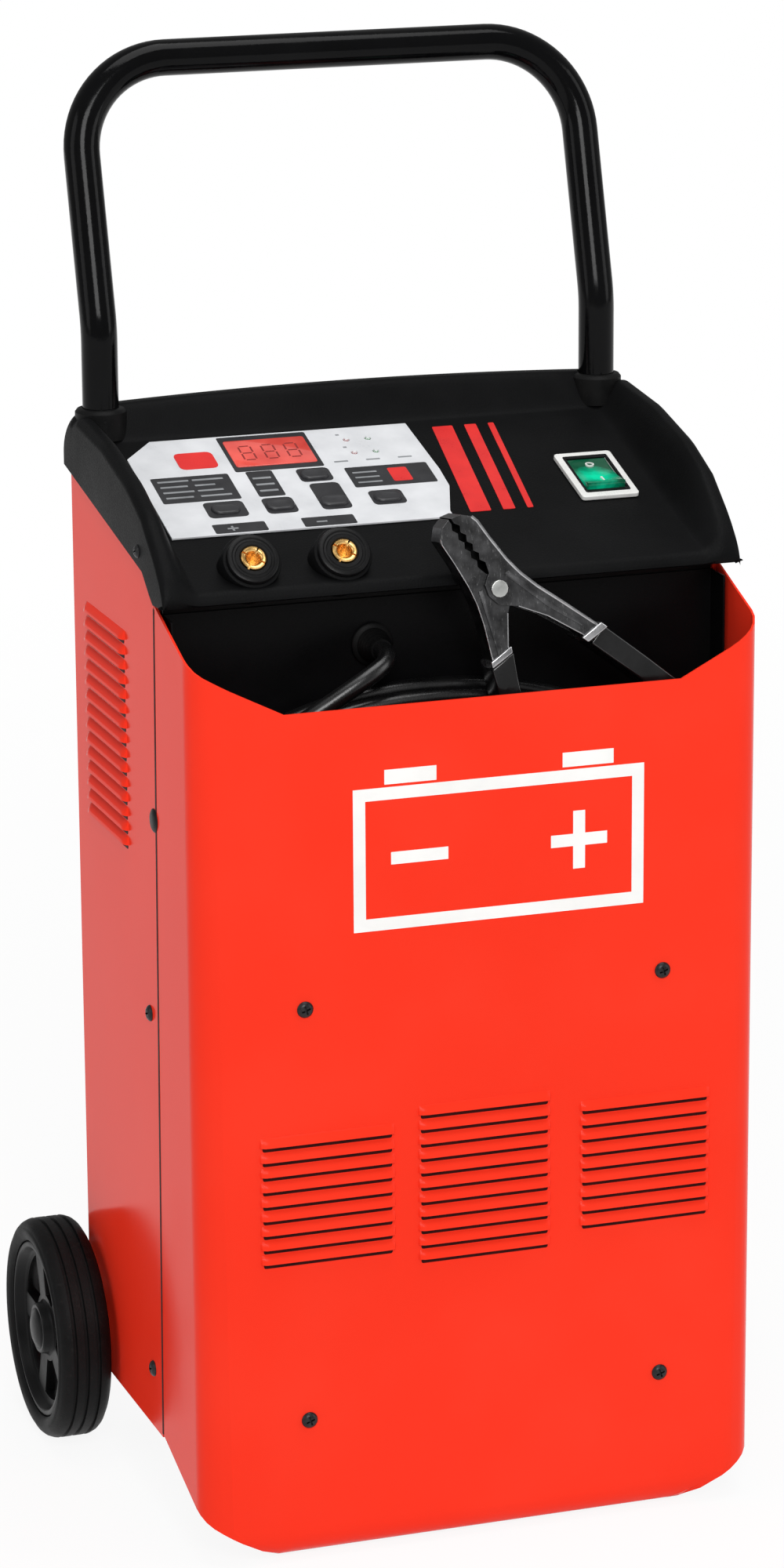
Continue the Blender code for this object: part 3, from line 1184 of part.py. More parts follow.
def coil_ring(bm, centre_y, low, high):
    """A winding round the centre limb, with round outer corners and a rectangular bore."""
    limb_w, limb_d = CORE_LIMB + GAP, CORE_SIZE[1] / 2 + GAP
    inner = [(limb_w, limb_d), (-limb_w, limb_d), (-limb_w, -limb_d), (limb_w, -limb_d)]
    reach = CORE_SIZE[0] / 2 - CORE_LIMB - GAP
    outer_d = CORE_SIZE[1] / 2 + COIL_SPREAD
    outer = []
    radius = 0.012
    for sx, sy, start in ((1, 1, 0), (-1, 1, 90), (-1, -1, 180), (1, -1, 270)):
        outer.append(arc((sx * (reach - radius), sy * (outer_d - radius)), radius, start, start + 90, 4))
    rings = {}
    for z in (low, high):
        rings[z] = ([bm.verts.new((x, centre_y + y, z)) for x, y in inner],
                    [[bm.verts.new((x, centre_y + y, z)) for x, y in corner] for corner in outer])
    for z in (low, high):
        inside, corners = rings[z]
        for k in range(4):
            n = (k + 1) % 4
            corner = corners[k]
            for a, b in zip(corner, corner[1:]):
                bm.faces.new((inside[k], a, b))
            bm.faces.new((inside[k], corner[-1], corners[n][0], inside[n]))
    inside_low, corners_low = rings[low]
    inside_high, corners_high = rings[high]
    flat_low = [v for corner in corners_low for v in corner]
    flat_high = [v for corner in corners_high for v in corner]
    for lower, upper in ((inside_low, inside_high), (flat_low, flat_high)):
        for k in range(len(lower)):
            n = (k + 1) % len(lower)
            bm.faces.new((lower[k], lower[n], upper[n], upper[k]))


def rectifier():
    """Finned heat sink on the shelf, with two stud diodes and a thermal cut-out."""
    width, base, height = SINK_SIZE
    bottom = SHELF_Z + SHEET + GAP
    y0 = at(SINK_DEPTH)
    outline = [(-width / 2, y0), (width / 2, y0), (width / 2, y0 + base)]
    step = (width - SINK_FIN_SHEET) / (SINK_FINS - 1)
    for k in reversed(range(SINK_FINS)):
        left = -width / 2 + k * step
        right = left + SINK_FIN_SHEET
        outline += [(right, y0 + base), (right, y0 + base + SINK_FIN_LENGTH), (left, y0 + base + SINK_FIN_LENGTH),
                    (left, y0 + base)]
    unique = [point for i, point in enumerate(outline) if i == 0 or point != outline[i - 1]]
    bm = bmesh.new()
    add_prism(bm, unique, "XY", bottom, bottom + height)
    add_object("heat_sink", bm, aluminium(), smooth=False)
    for label, x in (("left", -0.050), ("right", 0.050)):
        diode = bmesh.new()
        add_turned(diode, [(0.0, GAP), (DIODE_R, GAP), (DIODE_R, 0.006), (0.005, 0.0075), (0.0025, 0.014), (0.0, 0.014)],
                   (x, y0, bottom + 0.045), (0, -1, 0), 16)
        add_object("rectifier_diode_" + label, diode, zinc())
    bm = bmesh.new()
    add_box(bm, (-0.007, y0 - 0.0075, bottom + 0.075), (0.007, y0 - GAP, bottom + 0.089))
    add_object("thermal_cutout", bm, black_plastic(), smooth=False)


def glands():
    """Snap-in mains bush in the rear panel and the lead's gland in the pocket wall."""
    bm = bmesh.new()
    rear = at(REAR_OUTER_DEPTH) + GAP
    back = -SHEET - 2 * GAP
    add_turned(bm, [(GLAND_BORE_R, 0.022), (GLAND_BORE_R, -0.014), (0.0080, -0.014), (0.0092, back), (0.0080, back),
                    (0.0080, 0.0), (0.0115, 0.0), (0.0115, 0.006), (0.0100, 0.007), (0.0078, 0.022)],
               (GLAND_X, rear, GLAND_Z), (0, 1, 0), 14, closed=True)
    add_object("mains_gland", bm, black_plastic())
    bm = bmesh.new()
    face = at(POCKET_DEPTH) - GAP
    add_turned(bm, [(0.0, -0.012), (0.0085, -0.012), (0.0085, 0.0), (0.0120, 0.0), (0.0120, 0.006), (0.0100, 0.0075),
                    (0.0080, LEAD_GLAND_LENGTH), (0.0, LEAD_GLAND_LENGTH)],
               (LEAD_GLAND_X, face, LEAD_GLAND_Z), (0, -1, 0), 14)
    add_object("lead_gland", bm, black_plastic())


# ---- Clamp lead -----------------------------------------------------------------------------

def coil_point(angle):
    """A point of the stored loops; they lie on the pocket's floor and step back with the angle."""
    share = (angle - COIL_START) / (COIL_END - COIL_START)
    half_height = COIL_HALF_HEIGHTS[0] + share * (COIL_HALF_HEIGHTS[1] - COIL_HALF_HEIGHTS[0])
    depth = COIL_DEPTHS[0] + share * (COIL_DEPTHS[1] - COIL_DEPTHS[0])
    centre_z = POCKET_FLOOR_Z + COIL_LIFT + LEAD_R + half_height
    return Vector((COIL_CENTRE_X + COIL_HALF_WIDTH * math.cos(angle), at(depth), centre_z + half_height * math.sin(angle)))


def coil_path():
    turns = (COIL_END - COIL_START) / (2 * math.pi)
    count = round(turns * COIL_POINTS_PER_TURN)
    return [coil_point(COIL_START + (COIL_END - COIL_START) * k / count) for k in range(count + 1)]


def lead_start_points():
    """From the gland: forward, then down and left into the first loop."""
    gland = Vector((LEAD_GLAND_X, at(POCKET_DEPTH) - GAP - LEAD_GLAND_LENGTH - GAP, LEAD_GLAND_Z))
    first, second = coil_path()[:2]
    way = (second - first).normalized()
    return [gland, gland + Vector((0, -0.006, 0)), (-0.0430, at(0.0360), 0.4890), (-0.0560, at(0.0290), 0.4830),
            (-0.0760, at(0.0272), 0.4720), (-0.0980, at(0.0280), 0.4590),
            first - way * 0.018, first - way * (0.006 + GAP), first - way * GAP]


def lead_end_points():
    """From the last loop: round to the right, up and into the fixed arm's handle."""
    before, last = coil_path()[-2:]
    way = (last - before).normalized()
    exit_point, exit_way = sleeve_exit()
    return [last + way * GAP, last + way * (0.006 + GAP), (0.0300, at(0.0600), 0.3656), (0.0700, at(0.0580), 0.3668),
            (0.1000, at(0.0540), 0.3725), (0.1240, at(0.0480), 0.3850), (0.1400, at(0.0405), 0.4030),
            (0.1460, at(0.0325), 0.4210), exit_point + exit_way * 0.020, exit_point + exit_way * 0.007,
            exit_point + exit_way * GAP]


def add_lead(name, path):
    curve = bpy.data.curves.new(name, "CURVE")
    curve.dimensions = "3D"
    curve.bevel_depth = LEAD_R
    curve.bevel_resolution = 1
    curve.use_fill_caps = True
    spline = curve.splines.new("POLY")
    spline.points.add(len(path) - 1)
    for point, place in zip(spline.points, path):
        point.co = (*place, 1.0)
    curve.materials.append(black_rubber())
    obj = bpy.data.objects.new(name, curve)
    bpy.context.scene.collection.objects.link(obj)


def least_gap(path, radius):
    """Least surface distance between parts of a tube that lie over a half turn apart."""
    found = 1.0
    skip = COIL_POINTS_PER_TURN // 2
    for i, here in enumerate(path):
        for there in path[i + skip:]:
            found = min(found, (here - there).length - 2 * radius)
    return found


def charging_lead():
    loops = coil_path()
    add_lead("lead_coil", loops)
    add_lead("lead_start", smooth_path(lead_start_points(), 0.010))
    add_lead("lead_end", smooth_path(lead_end_points(), 0.014))
    whole = smooth_path(lead_start_points(), 0.010) + loops + smooth_path(lead_end_points(), 0.014)
    length = sum((b - a).length for a, b in zip(whole, whole[1:]))
    print("lead length %.3f m, least gap between its loops %.5f m" % (length, least_gap(loops, LEAD_R)))


# ---- Battery clamp --------------------------------------------------------------------------

def clamp_matrix():
    """Local X along the clamp to its handles, local Y towards the fixed arm, Z to the front."""
    up = Vector((0.0, CLAMP_LEAN, 1.0)).normalized()
    right = Vector((1.0, 0.0, 0.0))
    along_axis = right * math.cos(CLAMP_AXIS) + up * math.sin(CLAMP_AXIS)
    across = right * -math.sin(CLAMP_AXIS) + up * math.cos(CLAMP_AXIS)
    front = along_axis.cross(across)
    matrix = Matrix((along_axis, across, front)).transposed().to_4x4()
    matrix.translation = Vector((CLAMP_PIVOT[0], at(CLAMP_PIVOT[1]), CLAMP_PIVOT[2]))
    return matrix


OUTER_EDGE = ((-0.0445, 0.0060), (-0.0390, 0.0115), (-0.0250, 0.0118), (-0.0100, 0.0128), (0.0, 0.0145),
              (0.0120, 0.0182), (0.0250, 0.0235), (0.0480, 0.0325), (0.0800, 0.0432), (0.1080, 0.0520))
INNER_EDGE = ((0.1110, 0.0440), (0.0800, 0.0338), (0.0480, 0.0228), (0.0280, 0.0130), (0.0140, 0.0030),
              (0.0070, -0.0050), (0.0, -0.0068), (-0.0060, -0.0052), (-0.0100, 0.0004))


def jaw_teeth():
    """Saw-tooth line of a jaw from the pivot end to the tip."""
    points = []
    for k in range(5):
        s = -0.0160 - 0.0060 * k
        points += [(s, 0.0022), (s - 0.0030, 0.0004)]
    return points + [(-0.0460, 0.0004)]


def arm_outline():
    return list(OUTER_EDGE) + list(INNER_EDGE) + jaw_teeth()


def clamp_arm(name, sign, width, parent):
    bm = bmesh.new()
    outline = [(s, sign * t) for s, t in arm_outline()]
    add_prism(bm, outline, "XY", -width / 2, width / 2)
    obj = add_object(name, bm, clamp_steel(), parent, smooth=False)
    hollow = bmesh.new()
    roof = [(s, t - ARM_SHEET * 1.15) for s, t in OUTER_EDGE[1:]]
    roof[0] = (-0.0405, 0.0095)
    roof.append((0.1300, 0.0570))
    floor = [(0.1300, 0.0200), (0.0300, -0.0200), (-0.0150, -0.0200), (-0.0430, -0.0100), (-0.0430, 0.0070)]
    add_prism(hollow, [(s, sign * t) for s, t in roof + floor], "XY", -width / 2 + ARM_SHEET, width / 2 - ARM_SHEET)
    cut(obj, hollow, "channel", parent)
    holes = bmesh.new()
    add_rod(holes, (0.0, 0.0, -0.02), (0, 0, 1), clear(PIN_R, 12), 0.04, 12)
    cut(obj, holes, "pin_hole", parent)
    return obj


def sleeve_outline(sign, grow):
    outer = [(s, t + grow) for s, t in ((SLEEVE_START, 0.0338), (0.0800, 0.0432), (0.1080, 0.0520))]
    outer.append((0.1150 + grow, 0.0542 + grow))
    inner = [(0.1180 + grow, 0.0430 - grow), (0.1110, 0.0440 - grow), (0.0800, 0.0338 - grow),
             (SLEEVE_START + 0.0030, 0.0252 - grow)]
    return [(s, sign * t) for s, t in outer + inner]


def clamp_sleeve(name, sign, width, parent):
    bm = bmesh.new()
    add_prism(bm, sleeve_outline(sign, SLEEVE_WALL + GAP), "XY", -width / 2 - SLEEVE_WALL - GAP,
              width / 2 + SLEEVE_WALL + GAP)
    obj = add_object(name, bm, black_plastic(), parent, smooth=False)
    cavity = bmesh.new()
    outline = sleeve_outline(sign, GAP)
    outline[0] = (SLEEVE_START - 0.02, outline[0][1] - sign * 0.0068)
    outline[-1] = (SLEEVE_START - 0.02, outline[-1][1] - sign * 0.0090)
    end = 0.1125
    outline[3] = (end, sign * (0.0534 + GAP))
    outline[4] = (end, sign * (0.0440 - GAP))
    add_prism(cavity, outline, "XY", -width / 2 - GAP, width / 2 + GAP)
    cut(obj, cavity, "cavity", parent)
    return obj


def sleeve_exit():
    """Where the lead leaves the fixed arm's sleeve, and which way it points there."""
    matrix = clamp_matrix()
    grow = SLEEVE_WALL + GAP
    top = Vector((0.1150 + grow, 0.0542 + grow, 0.0))
    low = Vector((0.1180 + grow, 0.0430 - grow, 0.0))
    edge = (low - top).normalized()
    way = Vector((-edge.y, edge.x, 0.0))
    return matrix @ ((top + low) / 2), (matrix.to_3x3() @ way).normalized()


def spring_path():
    """Torsion spring on the pin: a straight leg in each handle and the coils between."""
    height = SPRING_PITCH * SPRING_TURNS
    start, end = math.radians(62.0), math.radians(298.0 - 360.0 + 360.0 * SPRING_TURNS)
    coils = []
    count = 9 * SPRING_TURNS
    for k in range(count + 1):
        angle = start + (end - start) * k / count
        z = -height / 2 + height * k / count
        coils.append(Vector((SPRING_R * math.cos(angle), SPRING_R * math.sin(angle), z)))
    first, last = coils[0], coils[-1]
    leg_a = Vector((0.0240, 0.0172, first.z))
    leg_b = Vector((0.0240, -0.0172, last.z))
    lead_in = [leg_a + (first - leg_a) * k / 4 for k in range(4)]
    lead_out = [last + (leg_b - last) * k / 4 for k in range(1, 5)]
    return lead_in + coils + lead_out


def battery_clamp():
    frame = empty("clamp_frame", clamp_matrix())
    clamp_arm("clamp_arm_fixed", 1, ARM_WIDTH_FIXED, frame)
    moving = empty("clamp_pivot", Matrix.Identity(4))
    moving.parent = frame
    clamp_arm("clamp_arm_moving", -1, ARM_WIDTH_MOVING, moving)
    clamp_sleeve("clamp_sleeve_fixed", 1, ARM_WIDTH_FIXED, frame)
    clamp_sleeve("clamp_sleeve_moving", -1, ARM_WIDTH_MOVING, moving)
    half = ARM_WIDTH_FIXED / 2 + GAP
    bm = bmesh.new()
    add_turned(bm, [(0.0, -half - 0.0016), (0.0046, -half - 0.0012), (0.0050, -half), (PIN_R, -half), (PIN_R, half),
                    (0.0050, half), (0.0046, half + 0.0012), (0.0, half + 0.0016)], (0, 0, 0), (0, 0, 1), 12)
    add_object("clamp_pin", bm, zinc(), frame)
    path = spring_path()
    bm = bmesh.new()
    sweep(bm, path, SPRING_WIRE_R, 5)
    add_object("clamp_spring", bm, zinc(), frame)
    coils = path[4:-4]
    gaps = [(a - b).length for i, a in enumerate(coils) for b in coils[i + 5:]]
    print("least gap of the clamp spring to itself %.5f m" % (min(gaps) - 2 * SPRING_WIRE_R))


def build():
    for obj in list(bpy.data.objects):
        bpy.data.objects.remove(obj, do_unlink=True)
    front_panel()
    side_panel("side_panel_left", -1)
    side_panel("side_panel_right", 1)
    rear_panel()
    base_plate()
    component_shelf()
    cable_pocket()
    slope = slope_frame()
    top = console()
    console_openings(top, slope)
    membrane_panel(slope)
    display_window(slope)
    keys(slope)
    led_light_guide(slope)
    mains_switch(slope)
    control_board(slope)
    sockets()
    handle()
    wheel("left", -1)
    wheel("right", 1)
    axle_set()
    screws()
    transformer()
    rectifier()
    glands()
    charging_lead()
    battery_clamp()


build()
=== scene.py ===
"""Dressing of a wheeled battery charger: finishes, rounded and detailed pieces, stage and camera.

Sizes are metres in the model's frame: X to the right, Y to the back and Z up. Depths are measured
back from the front sheet, and at() turns them into Y.
"""
import json
import math

import bmesh
import bpy
from mathutils import Matrix, Vector

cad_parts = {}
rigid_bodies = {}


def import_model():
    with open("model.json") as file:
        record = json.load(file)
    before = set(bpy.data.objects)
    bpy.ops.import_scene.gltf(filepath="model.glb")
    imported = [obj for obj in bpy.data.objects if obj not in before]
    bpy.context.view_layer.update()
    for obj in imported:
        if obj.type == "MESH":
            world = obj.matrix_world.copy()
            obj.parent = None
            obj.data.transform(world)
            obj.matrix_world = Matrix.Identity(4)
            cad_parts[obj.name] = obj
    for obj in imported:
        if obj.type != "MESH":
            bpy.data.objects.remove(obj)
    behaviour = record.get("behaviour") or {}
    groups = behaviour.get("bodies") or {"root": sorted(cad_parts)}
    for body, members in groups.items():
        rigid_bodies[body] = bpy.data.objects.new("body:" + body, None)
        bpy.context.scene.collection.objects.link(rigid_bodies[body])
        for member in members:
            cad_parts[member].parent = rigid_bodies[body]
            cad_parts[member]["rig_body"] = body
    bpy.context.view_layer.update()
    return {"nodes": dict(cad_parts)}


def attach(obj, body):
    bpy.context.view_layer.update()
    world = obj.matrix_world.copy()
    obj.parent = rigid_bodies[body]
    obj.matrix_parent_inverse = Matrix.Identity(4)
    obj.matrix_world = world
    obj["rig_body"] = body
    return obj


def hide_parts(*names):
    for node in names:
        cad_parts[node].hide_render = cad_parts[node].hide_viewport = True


bl_info = {
    "name": "Battery charger dressing",
    "version": (1, 0, 0),
    "blender": (4, 5, 0),
    "location": "View3D > Sidebar > Charger",
    "description": "Adds the visible pieces, finishes, stage and camera of a wheeled battery charger",
    "category": "Object",
}

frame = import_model()
NODES = frame["nodes"]

# ---- Places on the charger ------------------------------------------------------------------
FRONT_Y = -0.14385
GAP = 0.0003
HALF_WIDTH = 0.160              # side panels' outer faces
SCREW_FACE_X = 0.16005          # under the heads that sit on the side panels
PITCH = 0.0082                  # louvres
HOOD_HEIGHT = 0.0054
HOOD_LENGTH = 0.0766
FRONT_LOUVRES = ((-0.0898, 0.174, 9), (-0.0008, 0.166, 11), (0.0918, 0.174, 9))
SIDE_LOUVRES = (0.1640, 0.376, 15)
SEAM_LINE = ((0.0815, 0.0500), (0.0701, 0.5200))    # depth and height of the seam's ends
# Half width, and inner and outer X, of the dark strip on each side seam: painted shade of the gap.
SEAM_SHADE_HALF = 0.0013
SEAM_SHADE_XS = (0.1590, 0.16012)
CONSOLE_HALF = 0.1628
CONSOLE_FRONT = 0.0436
CONSOLE_REAR = 0.2315
SLOPE_DEPTH = 0.050
SLOPE_Z = 0.533
SLOPE = math.radians(17.75)
FLOOR_HALF = 0.141
CHEEK_TOP_X = 0.1560
CHEEK_OUTLINE = ((0.0436, 0.5335), (0.050, 0.5415), (0.059, 0.551), (0.082, 0.569), (0.110, 0.581),
                 (0.156, 0.592), (0.204, 0.597), (0.2315, 0.5975))
SKIRT_OUTLINE = ((0.0436, 0.5250), (0.064, 0.524), (0.072, 0.5305), (0.082, 0.538), (0.2315, 0.567))
RIM_START = 0.203
RIM_TOP_DEPTH = 0.2190
RIM_Z = 0.6045
RIM_ARCH = 0.0045
EDGE_ROUND = 0.0050
REAR_ROUND = 0.0080
CONSOLE_WALL = 0.0025
WINDOW = ((-0.118, 0.1135), (0.006, 0.1955))
DISPLAY = (-0.0600, 0.1800, 0.0465, 0.0290)
KEYS = ((-0.1030, 0.1245), (-0.0723, 0.1245), (-0.0416, 0.1245), (-0.0109, 0.1245), (-0.0432, 0.1530))
KEY_SIZE = (0.0160, 0.0105)
KEY_TOP = 0.0031
LEDS = ((-0.0135, 0.1870), (-0.0010, 0.1870), (-0.0135, 0.1730), (-0.0010, 0.1730))
FILM_TOP = 0.0015               # outer face of the control panel's film above the slope
SWITCH = (0.1123, 0.1298)
SWITCH_BODY = (0.0276, 0.0430)
ROCKER = (0.0226, 0.0330)
ROCKER_TILT = math.radians(7.0)
SOCKET_XS = (-0.1095, -0.0590)
SOCKET_DEPTH = 0.0570
SOCKET_Z = 0.5450
SOCKET_RISE = math.radians(38.0)
WHEEL_R = 0.0634
WHEEL_DEPTH = 0.2269
WHEEL_OUTER_X = 0.1950
WHEEL_WIDTH = 0.0310
TYRE_DEPTH = 0.0125
AXLE_R = 0.0060
HUB_R = 0.0150
HANDLE_X = 0.1456
HANDLE_DEPTH = 0.2155
HANDLE_R = 0.0100
HANDLE_BEND_Z = 0.6444
HANDLE_BEND_R = 0.060
HANDLE_LEAN = math.radians(16.4)
HANDLE_RISE = 0.1461
HANDLE_CORNER_R = 0.052
HANDLE_FOOT_Z = 0.432
FRONT_SCREWS = ((-0.1015, 0.3138), (0.1015, 0.3138), (-0.1015, 0.0817), (0.1015, 0.0817))
SIDE_SCREWS = (("upper", 0.0910, 0.2910), ("lower", 0.0975, 0.0830))
POCKET_DEPTH = 0.068
POCKET_FLOOR_Z = 0.360
LEAD_R = 0.0050
GLAND_X = -0.0400
GLAND_Z = 0.4920
GLAND_LENGTH = 0.0170
COIL_START = math.radians(165.0)
COIL_END = math.radians(990.0)
CLAMP_PIVOT = (0.0160, 0.0317, 0.5257)
CLAMP_LEAN = 0.158
CLAMP_AXIS = math.radians(-57.0)
SPRING_R = 0.0058
SPRING_WIRE_R = 0.0009
SPRING_HEIGHT = 0.0092
SPRING_TURNS = 4
SPRING_LEG = (0.0240, 0.0172)   # end of each leg, along and across the clamp
FIXED_HALF = 0.0095             # half the width of the fixed arm
MOVING_HALF = 0.0074
KEY_DISH = ((0.0005, 0.0006), (0.0008, 0.0002), (0.0010, -0.0003))      # inset and rise of each step
SYMBOL = (0.0080, 0.3920, 0.1640, 0.0780)           # centre, width and height on the front
SYMBOL_LINE = 0.0068
ACCENT_BARS = (((0.0300, 0.105), (0.0420, 0.105), (0.0520, 0.196), (0.0400, 0.196)),
               ((0.0490, 0.105), (0.0560, 0.105), (0.0660, 0.196), (0.0590, 0.196)),
               ((0.0630, 0.105), (0.0665, 0.105), (0.0765, 0.196), (0.0730, 0.196)))
# left, near, right, far and corner radius of each printed field
PRINT_FIELDS = ((-0.1345, 0.1345, -0.0905, 0.1610, 0.0012), (-0.1140, 0.1165, -0.0915, 0.1327, 0.0030),
                (-0.0805, 0.1345, -0.0655, 0.1610, 0.0012), (-0.0810, 0.1165, -0.0635, 0.1327, 0.0030),
                (-0.0500, 0.1165, -0.0330, 0.1440, 0.0030), (-0.0525, 0.1461, -0.0338, 0.1600, 0.0030),
                (-0.0250, 0.1365, 0.0225, 0.1575, 0.0012), (-0.0205, 0.1172, -0.0015, 0.1320, 0.0030),
                (-0.1155, 0.1008, -0.0860, 0.1100, 0.0010), (-0.0655, 0.1008, -0.0360, 0.1100, 0.0010),
                (-0.0855, 0.1615, -0.0345, 0.1985, 0.0012))
# radius and distance along the axis of the turned pieces
BOSS_PROFILE = ((0.0, 0.0), (0.0150, 0.0), (0.0157, 0.0003), (0.0160, 0.0010), (0.0160, 0.0200),
                (0.0, 0.0200))
COLLAR_PROFILE = ((0.0071, 0.0006), (0.0078, 0.0), (0.0096, 0.0), (0.0101, 0.0005), (0.0112, 0.0006),
                  (0.0118, 0.0001), (0.0131, 0.0001), (0.0139, 0.0005), (0.0143, 0.0013), (0.0143, 0.0030),
                  (0.0110, 0.0030), (0.0110, 0.0220), (0.0071, 0.0220))
CONTACT_PROFILE = ((0.0, 0.0140), (0.0041, 0.0140), (0.0041, 0.0010), (0.0046, 0.0003), (0.0052, 0.0),
                   (0.0062, 0.0), (0.0067, 0.0004), (0.0068, 0.0009), (0.0068, 0.0230), (0.0040, 0.0230),
                   (0.0040, 0.0330), (0.0, 0.0330))
LAMP_PROFILE = ((0.0, 0.0026), (0.0009, 0.0025), (0.0014, 0.0020), (0.0016, 0.0013), (0.0016, -0.0020),
                (0.0, -0.0020))
HUB_CAP_PROFILE = ((0.0, 0.0029), (0.0040, 0.0028), (0.0075, 0.0022), (0.0105, 0.0010), (0.0118, 0.0002),
                   (0.0120, -0.0002), (0.0118, -0.0014), (0.0060, -0.0014), (0.0060, -0.0040),
                   (0.0, -0.0040))
PLUG_PROFILE = ((0.0, 0.0017), (0.0030, 0.0016), (0.0052, 0.0011), (0.0064, 0.0004), (0.0066, -0.0001),
                (0.0052, -0.0001), (0.0050, -0.0035), (0.0, -0.0035))
GLAND_PROFILE = ((0.0, 0.0), (0.0110, 0.0), (0.0116, 0.0006), (0.0116, 0.0022), (0.0108, 0.0030),
                 (0.0092, 0.0034), (0.0088, 0.0044), (0.0092, 0.0052), (0.0086, 0.0060), (0.0083, 0.0068),
                 (0.0087, 0.0076), (0.0081, 0.0084), (0.0078, 0.0092), (0.0082, 0.0100), (0.0075, 0.0110),
                 (0.0072, 0.0118), (0.0075, 0.0126), (0.0068, 0.0138), (0.0064, 0.0150), (0.0062, 0.0162),
                 (0.0058, GLAND_LENGTH), (0.0, GLAND_LENGTH))
REAR_SCREWS = (("top", 0.5450), ("middle", 0.3000), ("foot", 0.0900))

# ---- Stage and camera -----------------------------------------------------------------------
CAMERA_ANGLES = (18.9944, 15.2408, 0.3666)          # yaw, pitch and roll in degrees
CAMERA_PLACE = (-0.8993, -2.60475, 1.1416)
# name, place, target, width, height and power of each lamp
LAMPS = (("lamp_front", (-0.7, -2.9, 2.3), (0.0, 0.0, 0.35), 1.4, 1.4, 62.0),
         ("lamp_left", (-3.2, -0.4, 1.7), (0.0, 0.0, 0.4), 1.4, 2.4, 15.0),
         ("lamp_top", (0.2, -0.3, 3.2), (0.0, 0.0, 0.4), 1.8, 1.8, 36.0),
         ("lamp_right", (2.8, -1.6, 1.6), (0.0, 0.0, 0.4), 1.2, 2.2, 18.0))

# ---- Names of material slots, passed along but not used -------------------------------------
BLACK_SLOT = "satin_black_matte_plastic"
CLAMP_SLOT = "pressed_brushed_steel"

UPRIGHT = Matrix.Rotation(math.radians(90.0), 4, "X")


def at(depth):
    return FRONT_Y + depth


def along(outline, x):
    """Height of a polyline at x, held level beyond its ends."""
    if x <= outline[0][0]:
        return outline[0][1]
    for (x0, y0), (x1, y1) in zip(outline, outline[1:]):
        if x <= x1:
            return y0 + (y1 - y0) * (x - x0) / (x1 - x0)
    return outline[-1][1]


def slope_place():
    return Matrix.Translation((0.0, at(SLOPE_DEPTH), SLOPE_Z)) @ Matrix.Rotation(SLOPE, 4, "X")


def up_slope(depth):
    """Distance up the slope of a point at this depth."""
    return (depth - SLOPE_DEPTH) / math.cos(SLOPE)


# ---- Modelling helpers ----------------------------------------------------------------------

def new_object(name, data):
    obj = bpy.data.objects.new(name, data)
    bpy.context.scene.collection.objects.link(obj)
    return obj


def drop(*objs):
    for obj in objs:
        bpy.data.objects.remove(obj, do_unlink=True)


def facing(axis):
    """Turn that takes Z to an axis."""
    return Vector((0, 0, 1)).rotation_difference(Vector(axis)).to_matrix().to_4x4()


def deselect():
    if bpy.context.object and bpy.context.object.mode != "OBJECT":
        bpy.ops.object.mode_set(mode="OBJECT")
    bpy.ops.object.select_all(action="DESELECT")


def activate(obj):
    deselect()
    obj.select_set(True)
    bpy.context.view_layer.objects.active = obj
    return obj


def edit(obj, select="SELECT", kind="VERT"):
    activate(obj)
    bpy.ops.object.mode_set(mode="EDIT")
    bpy.ops.mesh.select_mode(type=kind)
    bpy.ops.mesh.select_all(action=select)


def leave_edit():
    bpy.ops.object.mode_set(mode="OBJECT")


def from_points(name, verts, edges=(), faces=()):
    mesh = bpy.data.meshes.new(name)
    mesh.from_pydata([tuple(v) for v in verts], list(edges), list(faces))
    return new_object(name, mesh)


def tidy_faces(obj, threshold=1e-6):
    """Merge doubles and point the faces outwards."""
    edit(obj)
    bpy.ops.mesh.remove_doubles(threshold=threshold)
    bpy.ops.mesh.normals_make_consistent(inside=False)
    leave_edit()
    return obj


def apply_modifier(obj, kind, **settings):
    activate(obj)
    modifier = obj.modifiers.new("step", kind)
    for key, value in settings.items():
        setattr(modifier, key, value)
    bpy.ops.object.modifier_apply(modifier=modifier.name)


def round_edges(obj, width, segments=2, angle=30.0):
    apply_modifier(obj, "BEVEL", width=width, segments=segments, limit_method="ANGLE",
                   angle_limit=math.radians(angle), use_clamp_overlap=True)


def level_normals(obj):
    """Keep large flats flat in the shading of a piece with rounded edges."""
    apply_modifier(obj, "WEIGHTED_NORMAL", mode="FACE_AREA", weight=100, keep_sharp=True)


def combine(obj, other, operation="DIFFERENCE", solver="MANIFOLD"):
    apply_modifier(obj, "BOOLEAN", operation=operation, object=other, solver=solver)
    drop(other)
    return obj


def unite(objs, name):
    """One object from several separate ones."""
    activate(objs[0])
    for obj in objs[1:]:
        obj.select_set(True)
    if len(objs) > 1:
        bpy.ops.object.join()
    objs[0].name = name
    return objs[0]


def turned(profile, centre, axis, steps=64, closed=False):
    """Shape spun round an axis from (radius, along) points."""
    count = len(profile)
    edges = [(k, k + 1) for k in range(count - 1)]
    if closed:
        edges.append((count - 1, 0))
    obj = from_points("turned", [(r, 0.0, a) for r, a in profile], edges)
    edit(obj)
    bpy.ops.mesh.spin(steps=steps, angle=2 * math.pi, center=(0, 0, 0), axis=(0, 0, 1))
    leave_edit()
    tidy_faces(obj, 2e-6)
    obj.data.transform(Matrix.Translation(centre) @ facing(axis))
    return obj


def slab(points, low, high, corner=0.0, segments=3):
    """Flat piece with an outline in X and Y, from low to high, and rounded corners."""
    obj = from_points("slab", [(x, y, low) for x, y in points], (), [tuple(range(len(points)))])
    edit(obj)
    if corner:
        bpy.ops.mesh.bevel(offset=corner, offset_type="OFFSET", segments=segments, affect="VERTICES")
    bpy.ops.mesh.select_all(action="SELECT")
    bpy.ops.mesh.extrude_region_move(TRANSFORM_OT_translate={"value": (0, 0, high - low)})
    leave_edit()
    return tidy_faces(obj)


